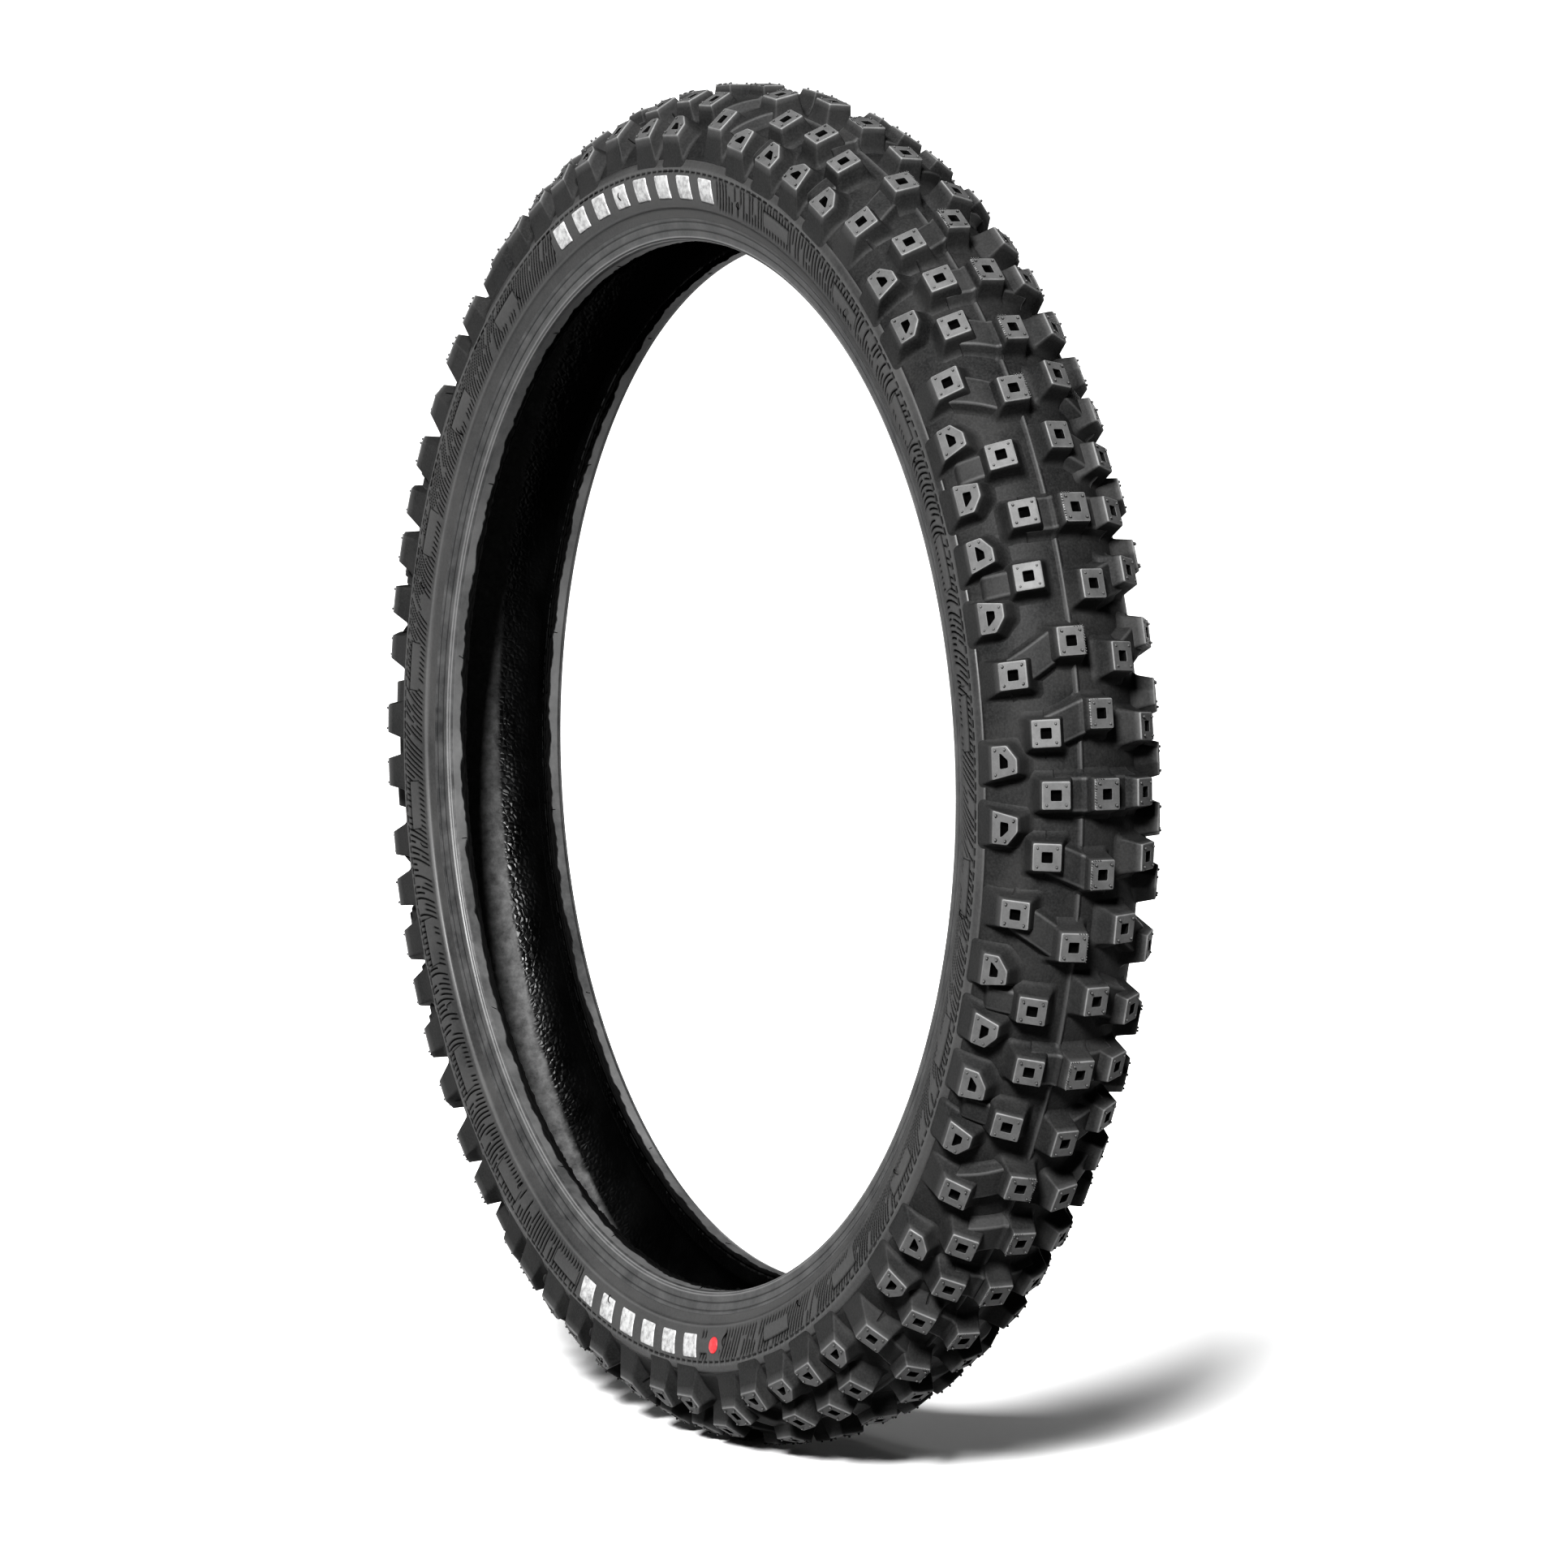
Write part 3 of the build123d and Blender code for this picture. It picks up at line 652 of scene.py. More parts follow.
def nub(form, lateral, spot, height, radius=NUB_RADIUS):
    """Small stub of rubber left by a mould vent on a block's top."""
    turn = np.linspace(0, 2 * np.pi, NUB_SIDES, endpoint=False)
    circle = np.stack([np.cos(turn), np.sin(turn)], -1)
    rings = []
    for scale, share in ((0.55, 1.0), (0.8, 0.86), (0.95, 0.4), (1.15, -0.2)):
        rings.append(stand(lateral, spot + circle * radius * scale, height * share))
    # The nub's top is paler: scuff with painted sheen, as on the block tops.
    form.rings(rings, [0.3, 0.3, 0.1, 0.0], lift=1.0)


def flash_teeth(form, lateral, top, edge):
    """Row of small teeth where the mould's parting runs along one edge of a block.

    The edge is 1 for the block's outer edge, towards the right, and -1 for its inner edge.
    """
    corners = np.asarray(top, float)
    end = corners[:, 0].max()
    place = corners[:, 1].max() if edge > 0 else corners[:, 1].min()
    for x in np.arange(-end + 0.3, end, TOOTH_PITCH):
        size = 0.3 + 0.14 * np.sin(9.0 * x)
        nub(form, lateral, np.array([x, place - 0.15 * edge]), 0.9 * size + 0.2, size)
    for y in place - edge * np.arange(0.6, 5.5, TOOTH_PITCH):
        nub(form, lateral, np.array([end - 0.1, y]), 0.4, 0.3)


def block(lateral, top, spread, pocket, fillets, nub_spots, edge=0):
    """One tread block at angle 0 on the right, from the floor of its pocket to its root."""
    top, foot = np.asarray(top, float), np.asarray(top, float) + np.asarray(spread, float)
    form = Form()
    rings, wear_and_light_values = [], []
    # The last value of each ring is painted shade inside the pocket, scuff with painted sheen on the
    # top, and a painted highlight along the bevelled edge.
    inside = [
        (0.5, 0.4, -POCKET_DEPTH, PAINTED_POCKET_SHADE),
        (0.22, 0.5, -POCKET_DEPTH + 0.12, PAINTED_POCKET_SHADE),
        (0.12, 0.6, -POCKET_DEPTH + 0.5, PAINTED_POCKET_SHADE),
        (0.04, 0.6, -0.3, 0.6 * PAINTED_POCKET_SHADE),
        (0.0, 0.6, -0.08, 0.3),
        (-0.12, 0.65, 0.0, 0.3),
        (-0.4, 0.8, 0.0, 0.3),
    ]
    for amount, radius, height, wear_and_painted_light in inside:
        rings.append(stand(lateral, rounded(shrink(pocket, amount), radius), height))
        wear_and_light_values.append(wear_and_painted_light)
    rim = [(1.0, 0.0, 0.3), (0.5, 0.0, 0.35), (0.16, -0.1, 0.8), (0.0, -BEVEL, 0.4)]
    for amount, height, wear_and_painted_light in rim:
        rings.append(stand(lateral, rounded(shrink(top, amount), 0.9), height))
        wear_and_light_values.append(wear_and_painted_light)
    upper = rings[-1]
    lower = stand(lateral, rounded(foot, 2.6), -ROOT_DEPTH)
    direction = lower - upper
    direction /= np.linalg.norm(direction, axis=1)[:, None]
    reach = meet_base(upper, direction)
    contact = upper + direction * reach[:, None]
    # The fillet is as long as the share of each edge says, blended around the corners
    outline = rounded(foot, 2.6)
    edge_length = np.repeat(fillets, CORNER_TURN + EDGE_RUN).astype(float)
    kernel = np.hanning(9)[1:-1]
    kernel /= kernel.sum()
    wrapped = np.concatenate([edge_length[-3:], edge_length, edge_length[:3]])
    length = np.convolve(wrapped, kernel, "valid") * FILLET
    length = np.minimum(length, 0.75 * reach)
    ahead = np.roll(outline, -1, axis=0) - np.roll(outline, 1, axis=0)
    away = np.stack([ahead[:, 1], -ahead[:, 0]], -1)
    away /= np.linalg.norm(away, axis=1)[:, None]
    away_direction = stand(lateral, away, 0.0) - stand(lateral, 0 * away, 0.0)
    begin = contact - direction * length[:, None]
    landing = on_base(contact + away_direction * length[:, None], -BASE_SINK)
    # The top of the flank keeps a little of the painted edge highlight.
    for share in (0.06, 0.35, 0.7):
        rings.append(upper + (begin - upper) * share)
        wear_and_light_values.append(0.12 if share < 0.1 else 0.0)
    for t in np.linspace(0, 1, 7):
        rings.append((1 - t) ** 2 * begin + 2 * t * (1 - t) * contact + t**2 * landing)
        wear_and_light_values.append(0.0)
    rings.append(on_base(contact, -1.4))
    wear_and_light_values.append(0.0)
    form.rings(rings, wear_and_light_values)
    for spot in nub_spots:
        nub(form, lateral, np.array(spot), NUB_HEIGHT)
    if edge:
        flash_teeth(form, lateral, top, edge)
    lean = np.arcsin(lateral / TOP_ARC)
    return form.arrays(), np.array([np.cos(lean), -np.sin(lean), 0.0])


def gather(name, copies, slot, node_name):
    """One piece from copies of (shape, outward direction), angle and side."""
    points, quads, triangles, wear_and_light_values, tones = [], [], [], [], []
    size = 0
    for (shape, outward), angle, side in copies:
        vertices, four, three, values = shape
        stubs = values["lift"][:, None] * outward * rng.uniform(-0.35, 0.25)
        vertices = (vertices + stubs) * np.array([1, side, 1])
        order = slice(None) if side > 0 else slice(None, None, -1)
        points.append(turned(vertices, angle))
        quads.append(size + four[:, order])
        triangles.append(size + three[:, order])
        wear_and_light_values.append(values["wear_and_painted_light"])
        tones.append(np.full(len(vertices), rng.uniform(0, 1)))
        size += len(vertices)
    piece = make_piece(
        name,
        np.vstack(points),
        [np.vstack(quads), np.vstack(triangles)],
        {"wear_and_painted_light": np.concatenate(wear_and_light_values), "tone": np.concatenate(tones)},
    )
    place(piece, TREAD, slot, node_name)


def all_around(forms, side=1, glide=0.0):
    """Every period's copies of (shape, angle) pairs, on one side."""
    return [
        (shape, PHASE + angle + glide + PERIOD * index, side)
        for shape, angle in forms
        for index in range(PERIODS)
    ]


def both_sides(forms, name, left_forms=None):
    """Pieces of the right half and of its glide mirror, which may have forms of its own."""
    gather(f"tread_{name}_right", all_around(forms), "tread_rubber", f"{name}_right")
    left_copies = all_around(left_forms or forms, -1, GLIDE)
    gather(f"tread_{name}_left", left_copies, "tread_rubber", f"{name}_left")


def rectangle(along, across):
    x, y = along / 2, across / 2
    return [(-x, -y), (x, -y), (x, y), (-x, y)]


def spread_box(along, inward, outward):
    return [(-along, -inward), (along, -inward), (along, outward), (-along, outward)]


def flip_angle(points):
    return [(-x, y) for x, y in reversed(points)]


def square_block(lateral, along, across, spread, fillets=(1, 1, 1, 1), edge=0):
    """Four-sided block with a square pocket and a stub near each corner."""
    top = rectangle(along, across)
    pocket = rectangle(POCKET, POCKET)
    return block(lateral, top, spread, pocket, fillets, shrink(top, NUB_INSET), edge)


ALONG_DRAFT = 3.5
SHOULDER_DRAFT = 14.5
centre_spread = spread_box(ALONG_DRAFT, 2.5, 1.2)
CENTRE_ANGLE = 6.2
middle_block = square_block(0.3, 14.6, 13.4, centre_spread, edge=1)
side_block = square_block(1.9, 14.0, 12.4, centre_spread, edge=1)
glided_middle = square_block(0.3, 14.6, 13.4, centre_spread, edge=-1)
glided_side = square_block(1.9, 14.0, 12.4, centre_spread)
centre_copies = all_around(
    [(middle_block, 0), (side_block, CENTRE_ANGLE), (side_block, -CENTRE_ANGLE)]
)
centre_copies += all_around(
    [(glided_middle, 0), (glided_side, -CENTRE_ANGLE), (glided_side, CENTRE_ANGLE)], -1, GLIDE
)
gather("tread_centre_knobs", centre_copies, "tread_rubber", "centre_knobs")

PAIR_ANGLE = 11.9
pair_spread = spread_box(ALONG_DRAFT, 1.2, 5.0)
pair_block = square_block(13.5, 13.8, 13.0, pair_spread, edge=-1)
plain_pair = square_block(13.5, 13.8, 13.0, pair_spread)
both_sides(
    [(pair_block, PAIR_ANGLE), (pair_block, -PAIR_ANGLE)],
    "inner_knobs",
    [(plain_pair, PAIR_ANGLE), (plain_pair, -PAIR_ANGLE)],
)

NEAR_ANGLE = 4.85
FAR_ANGLE = 17.35
middle_spread = spread_box(ALONG_DRAFT, 3.0, 5.5)
line_block = square_block(24.4, 13.0, 13.2, middle_spread)
outer_block = square_block(27.7, 12.9, 13.3, middle_spread)
intermediate_forms = [
    (line_block, 0),
    (line_block, GLIDE),
    (outer_block, NEAR_ANGLE),
    (outer_block, -NEAR_ANGLE),
    (outer_block, FAR_ANGLE),
    (outer_block, -FAR_ANGLE),
]
both_sides(intermediate_forms, "intermediate_knobs")

SQUARE_ANGLE = 9.65
OUTER_FILLET = 0.4
shoulder_block = square_block(
    38.0, 13.1, 13.4, spread_box(ALONG_DRAFT, 3.0, SHOULDER_DRAFT), (1, 0.8, OUTER_FILLET, 0.8)
)
both_sides(
    [(shoulder_block, SQUARE_ANGLE), (shoulder_block, -SQUARE_ANGLE)], "shoulder_square_knobs"
)

CUT_LATERAL = 42.5
cut_top = [(-5.0, -6.4), (1.6, -6.4), (8.0, -1.3), (7.6, 6.2), (-7.8, 6.2)]
cut_spread = [(-3.0, -3.0), (1.0, -3.0), (3.5, -1.2), (3.5, SHOULDER_DRAFT), (-3.5, SHOULDER_DRAFT)]
cut_pocket = [(-2.2, -1.8), (1.1, -1.8), (4.1, 1.4), (4.3, 2.2), (-2.8, 2.2)]
cut_fillets = (1, 1, 0.8, OUTER_FILLET, 0.8)
cut_nubs = shrink(cut_top, 1.9)[[0, 2, 3, 4]]
cut_block = block(CUT_LATERAL, cut_top, cut_spread, cut_pocket, cut_fillets, cut_nubs)
flipped_block = block(
    CUT_LATERAL,
    flip_angle(cut_top),
    flip_angle(cut_spread),
    flip_angle(cut_pocket),
    (1, 0.8, OUTER_FILLET, 0.8, 1),
    flip_angle(cut_nubs),
)
CUT_ANGLES = (2.65, -14.7, 19.95)
cut_forms = [(cut_block, angle) for angle in CUT_ANGLES]
cut_forms += [(flipped_block, -angle) for angle in CUT_ANGLES]
both_sides(cut_forms, "shoulder_cut_knobs")


# ---------------------------------------------------------------- tie bars

BAR_STEPS = 25
BAR_FILLET = 2.6


def bar(start, end, width, height, open_end=False, ribbed=False):
    """Low bar on the tread base between two (lateral, angle) places, with filleted sides.

    A ribbed bar carries the raised line of the mould's parting across its top.
    """
    half = width / 2
    profile = [
        (half + BAR_DRAFT + BAR_FILLET, -BASE_SINK),
        (half + BAR_DRAFT + 0.55 * BAR_FILLET, 0.12),
        (half + BAR_DRAFT + 0.2 * BAR_FILLET, 0.7),
        (half + 0.8 * BAR_DRAFT, 0.3 * height),
        (half + 0.25 * BAR_DRAFT, height - 0.9),
        (half - 0.1, height - 0.35),
        (half - 0.6, height - 0.05),
        (half - 1.6, height),
        (half / 2, height),
    ]
    profile += [(0.0, height)] + [(-offset, rise) for offset, rise in reversed(profile)]
    offsets, rises = np.array(profile).T
    share = np.linspace(0, 1, BAR_STEPS)[:, None]
    lateral = start[0] + (end[0] - start[0]) * share
    angle = np.radians(start[1] + (end[1] - start[1]) * share)
    lean = np.arcsin(lateral / BASE_ARC)
    radius = BASE_CENTRE[1] + BASE_ARC * np.cos(lean)
    line = np.stack([radius * np.cos(angle), -lateral, radius * np.sin(angle)], -1)[:, 0]
    across = np.stack([np.sin(angle), 0 * angle, -np.cos(angle)], -1)[:, 0]
    scale = np.ones(BAR_STEPS)
    if open_end:
        travel = np.linalg.norm(line - line[-1], axis=1)
        scale = smooth_step(0.0, 4.5, travel)
    placed = line[:, None] + across[:, None] * offsets[None, :, None]
    heights = np.where(rises > 0, rises * scale[:, None] - BASE_SINK * (1 - scale[:, None]), rises)
    if ribbed:
        offset = np.abs(lateral - RIB_LATERAL) / RIB_HALF
        ridge = np.where(offset < 1, np.cos(offset * np.pi / 2) ** 2, 0) * RIB_HEIGHT
        heights = heights + ridge * (rises > 0)
    upper = on_base(placed, heights)
    lower = on_base(line, -1.6)[:, None]
    points = np.concatenate([upper, lower], axis=1)
    count = points.shape[1]
    quads = lattice(BAR_STEPS, count, closed_rows=False)[:, ::-1]
    ends = []
    for row, order in ((0, 1), (BAR_STEPS - 1, -1)):
        here = row * count + np.arange(1, count - 2)
        fan = np.stack([np.full(len(here), row * count + count - 1), here, here + 1], -1)
        ends.append(fan[:, ::order])
        first = np.array([[row * count + count - 1, row * count, row * count + 1]])
        ends.append(first[:, ::order])
    # Painted highlight: the bar's top edges are a little paler.
    painted_edge_highlight = np.where((rises > height - 0.5) & (np.abs(offsets) > half - 1.0), 0.12, 0.0)
    wear_and_painted_light = np.append(painted_edge_highlight, 0.0)
    values = {"wear_and_painted_light": np.tile(wear_and_painted_light, BAR_STEPS), "lift": np.zeros(BAR_STEPS * count)}
    return (points.reshape(-1, 3), quads, np.vstack(ends), values), np.zeros(3)


def flipped(shape):
    """A shape's image on the other side of the pattern's mirror line."""
    (points, quads, triangles, values), outward = shape
    return (points * np.array([1, 1, -1]), quads[:, ::-1], triangles[:, ::-1], values), outward


def bar_forms(ribbed):
    """Every bar of one period, as (shape, angle) pairs."""
    line = bar((4.0, 0), (20.0, 0), BAR_WIDTH, BAR_HEIGHT, ribbed=ribbed)
    lean = bar((6.0, CENTRE_ANGLE), (23.0, NEAR_ANGLE), BAR_WIDTH, BAR_HEIGHT, ribbed=ribbed)
    zigzag = bar((16.0, PAIR_ANGLE), (33.5, SQUARE_ANGLE), BAR_WIDTH, BAR_HEIGHT)
    forms = [(line, 0), (line, GLIDE), (lean, 0), (flipped(lean), 0)]
    return forms + [(zigzag, 0), (flipped(zigzag), 0)]


both_sides(bar_forms(True), "tie_bars", bar_forms(False))

strut = bar((STRUT[0], 0), (STRUT[1], 0), STRUT_WIDTH, STRUT_HEIGHT, open_end=True)
both_sides([(strut, FAR_ANGLE), (strut, -FAR_ANGLE)], "shoulder_struts")


# ---------------------------------------------------------------- tread base

BASE_STEPS = 960


def tread_base():
    """Ground between the blocks, with the raised line of the mould's parting."""
    edge = np.degrees(np.arctan2(*(np.array(tread_corner()) - BASE_CENTRE)))
    rib_lean = np.degrees(np.arcsin(RIB_LATERAL / BASE_ARC))
    leans = np.linspace(-edge, edge, 56)
    leans = np.sort(np.append(leans, rib_lean + np.linspace(-2.6, 2.6, 15)))
    outer = polar(BASE_CENTRE, BASE_ARC, leans)
    inner = np.vstack(
        [
            polar(CAVITY_CENTRE, CAVITY_ARC + PLIES, [TREAD_EDGE, UNDERTREAD_EDGE]),
            polar(
                CAVITY_CENTRE,
                CAVITY_ARC + PLIES + UNDERTREAD,
                np.linspace(UNDERTREAD_EDGE, -UNDERTREAD_EDGE, 30),
            ),
            polar(CAVITY_CENTRE, CAVITY_ARC + PLIES, [-UNDERTREAD_EDGE, -TREAD_EDGE]),
        ]
    )
    sections = np.tile(np.vstack([outer, inner]), (BASE_STEPS, 1, 1))
    away = normals(outer)
    offset = (leans - rib_lean) / np.degrees(RIB_HALF / BASE_ARC)
    profile = np.where(np.abs(offset) < 1, np.cos(offset * np.pi / 2) ** 2, 0)
    wander = 1 + 0.18 * smooth_noise(BASE_STEPS, 90, 3)
    lift = RIB_HEIGHT * wander[:, None] * profile
    sections[:, : len(outer)] += away * lift[..., None]
    wear_and_painted_light = np.zeros(sections.shape[:2])
    # Painted highlight: the parting rib is a little paler along its crest.
    wear_and_painted_light[:, : len(outer)] = 0.16 * profile
    values = {"wear_and_painted_light": wear_and_painted_light.ravel(), "tone": np.zeros(wear_and_painted_light.size)}
    piece = ring("tread_base_surface", sections, 1, values)
    place(piece, TREAD, "tread_rubber", "tread_base")


def tread_corner():
    """Point where the tread's edge line meets the arc of the tread base."""
    lean = radians(TREAD_EDGE)
    drop = CAVITY_CENTRE[1] - BASE_CENTRE[1]
    reach = -drop * np.cos(lean) + (BASE_ARC**2 - (drop * np.sin(lean)) ** 2) ** 0.5
    return (reach * np.sin(lean), CAVITY_CENTRE[1] + reach * np.cos(lean))


tread_base()


# ---------------------------------------------------------------- sidewalls

WALL_STEPS = 4320
RIBS = 600
GROOVE_DEPTH = 0.55
GROOVE_HALF = 0.85
SLANTS = (24.0, 22.0)  # middle slant of the strokes, and how far it swings around the tyre
DASH_RADIUS = 300.8
DASH_PITCH = 1.1
PANEL_PITCH = 15.0
PANEL_HALF = 2.6


def marked(angle):
    """1 where the band carries its painted marks, passing to 0 beside them."""
    found = np.zeros_like(angle)
    for centre, count in MARK_GROUPS:
        off = np.abs((angle - centre + 180) % 360 - 180) - MARK_PITCH * count / 2
        found = np.maximum(found, 1 - smooth_step(-0.4, 0.2, off))
    off = np.abs((angle - DOT_ANGLE + 180) % 360 - 180) - 1.3
    return np.maximum(found, 1 - smooth_step(-0.3, 0.3, off))


def grooves(angle, radius, seed):
    """Depth share of the fine slanted strokes moulded into the band."""
    draw = np.random.default_rng(seed)
    style = draw.choice(4, RIBS, p=(0.5, 0.16, 0.16, 0.18))
    break_place = draw.uniform(290.0, 295.0, RIBS)
    middle = BAND_MIDDLE[1]
    pitch = 2 * np.pi * middle / RIBS
    slant = SLANTS[0] - SLANTS[1] * np.cos(np.radians(2 * (angle - 60)))
    bend = 0.035 * np.sin(np.radians(3 * angle)) * (radius - middle) ** 2
    along = np.radians(angle) * middle + np.tan(np.radians(slant)) * (radius - middle) + bend
    index = np.floor(along / pitch).astype(int) % RIBS
    within = np.abs((along / pitch) % 1 - 0.5) * pitch
    stroke = 1 - smooth_step(0.3 * GROOVE_HALF, GROOVE_HALF, within)
    gap = radius - break_place[index]
    kind = style[index]
    keep = np.ones_like(stroke)
    keep = np.where(kind == 1, smooth_step(0.2, 0.8, gap), keep)
    keep = np.where(kind == 2, smooth_step(0.2, 0.8, -gap), keep)
    keep = np.where(kind == 3, smooth_step(0.6, 1.2, np.abs(gap)), keep)
    ends = smooth_step(284.6, 285.6, radius) * (1 - smooth_step(299.2, 300.4, radius))
    # Plain panels with a thin border interrupt the strokes at even spacing
    across = np.abs((angle / PANEL_PITCH) % 1 - 0.5) * PANEL_PITCH
    inside = (1 - smooth_step(PANEL_HALF - 0.1, PANEL_HALF, across)) * (
        1 - smooth_step(3.6, 3.9, np.abs(radius - middle))
    )
    edge_gap = np.minimum(
        np.abs(across - PANEL_HALF) * np.radians(middle),
        np.abs(np.abs(radius - middle) - 3.9),
    )
    near = (across < PANEL_HALF + 0.08) & (np.abs(radius - middle) < 4.4)
    border = np.where(near, 1 - smooth_step(0.15, 0.45, edge_gap), 0)
    strokes = stroke * keep * ends * (1 - inside)
    # A dashed line runs along the band's outer edge
    dashed = smooth_step(0.3, 0.38, (angle / DASH_PITCH) % 1)
    dashes = dashed * np.clip(1 - np.abs(radius - DASH_RADIUS) / 0.9, 0, 1)
    return np.maximum(np.maximum(strokes, 0.8 * border) * (1 - marked(angle)), dashes)


def flange_line(count):
    """Outer line of the flange face, from its top down to the heel."""
    return arc_through(FLANGE_TOP, FLANGE_MIDDLE, FLANGE_FOOT, count)


def split_line(line, radius):
    """Parts of a falling line above and below a radius, both with the point at it."""
    order = line[::-1]
    point = np.array([np.interp(radius, order[:, 1], order[:, 0]), radius])
    above = np.vstack([line[line[:, 1] > radius], point])
    below = np.vstack([point, line[line[:, 1] < radius]])
    return above, below


def casing_half(depth, start, crown_count, side_count, last):
    """Right half of a casing surface, from a lean on the crown arc down to a radius at the bead."""
    corner = polar(SIDE_CENTRE, SIDE_ARC + depth, [SIDE_END])[0]
    lateral = BEAD_INNER + depth
    travel = (corner[0] - lateral) / -np.cos(radians(SIDE_END))
    bead = (lateral, corner[1] - travel * np.sin(radians(SIDE_END)))
    crown_leans = np.linspace(start, CAVITY_SWEEP, crown_count)
    side_leans = np.linspace(CAVITY_SWEEP, SIDE_END, side_count)[1:]
    return np.vstack(
        [
            polar(CAVITY_CENTRE, CAVITY_ARC + depth, crown_leans),
            polar(SIDE_CENTRE, SIDE_ARC + depth, side_leans),
            [bead],
            [(lateral, last)],
        ]
    )


def casing_line(depth, first, last):
    """Line of a casing surface between two radii, falling from the tread to the bead."""
    above, _ = split_line(casing_half(depth, 50, 8, 14, SEAT_RADIUS - 5), last)
    _, below = split_line(above, first)
    return below


def sidewall(side, word, seed):
    """Sidewall rubber, with the band of strokes, the step and the smooth flange face."""
    corner = tread_corner()
    first = np.degrees(np.arctan2(corner[0], corner[1] - BASE_CENTRE[1]))
    last = np.degrees(np.arctan2(BAND_OUTER[0], BAND_OUTER[1] - BASE_CENTRE[1]))
    shoulder = polar(BASE_CENTRE, BASE_ARC, np.linspace(first, last, 4))
    band = arc_through(BAND_OUTER, BAND_MIDDLE, BAND_INNER, 19)
    flange, _ = split_line(flange_line(12), CHAFER_TOP)
    step = np.array(FLANGE_TOP) + [0.25, 0.1]
    outer = np.vstack([shoulder[:-1], band, [step], flange])
    inner_top = polar(CAVITY_CENTRE, CAVITY_ARC + PLIES, [TREAD_EDGE])[0]
    inner = casing_line(PLIES, inner_top[1], CHAFER_TOP)[::-1][::3]
    inner = np.vstack([inner, inner_top])
    section = np.vstack([outer, inner])
    angles = np.linspace(0, 360, WALL_STEPS, endpoint=False)[:, None]
    radius = band[:, 1][None, :]
    depth = grooves(angles, radius, seed)
    sections = np.tile(section, (WALL_STEPS, 1, 1))
    rows = slice(len(shoulder) - 1, len(shoulder) - 1 + len(band))
    sections[:, rows] -= normals(band) * (GROOVE_DEPTH * depth)[..., None]
    # Painted shade: the strokes, panel borders and dashes are darkened in their grooves.
    darkening = np.zeros(sections.shape[:2])
    darkening[:, rows] = 0.95 * depth
    # Paler lines along the band's outer and inner edges.
    wear_and_painted_light = np.zeros(sections.shape[:2])
    wear_and_painted_light[:, rows.start] = 0.25
    wear_and_painted_light[:, rows.stop - 1] = 0.4
    values = {"darkening": darkening.ravel(), "wear_and_painted_light": wear_and_painted_light.ravel()}
    piece = ring(f"sidewall_band_{word}", sections, side, values)
    place(piece, SIDEWALL, "sidewall_rubber", f"sidewall_{word}")


sidewall(1, "right", 5)
sidewall(-1, "left", 6)


# ---------------------------------------------------------------- beads

BEAD_STEPS = 1440
RIDGES = ((0.32, 0.55, 0.5), (0.62, 0.4, 0.45))
FACE_LINES = (275.6, 271.6)  # radii of the fine lines turned into the flange face
FRINGE = 27.3  # lateral of the ragged edge of the fringe on the seat, darkened near-black as painted shade


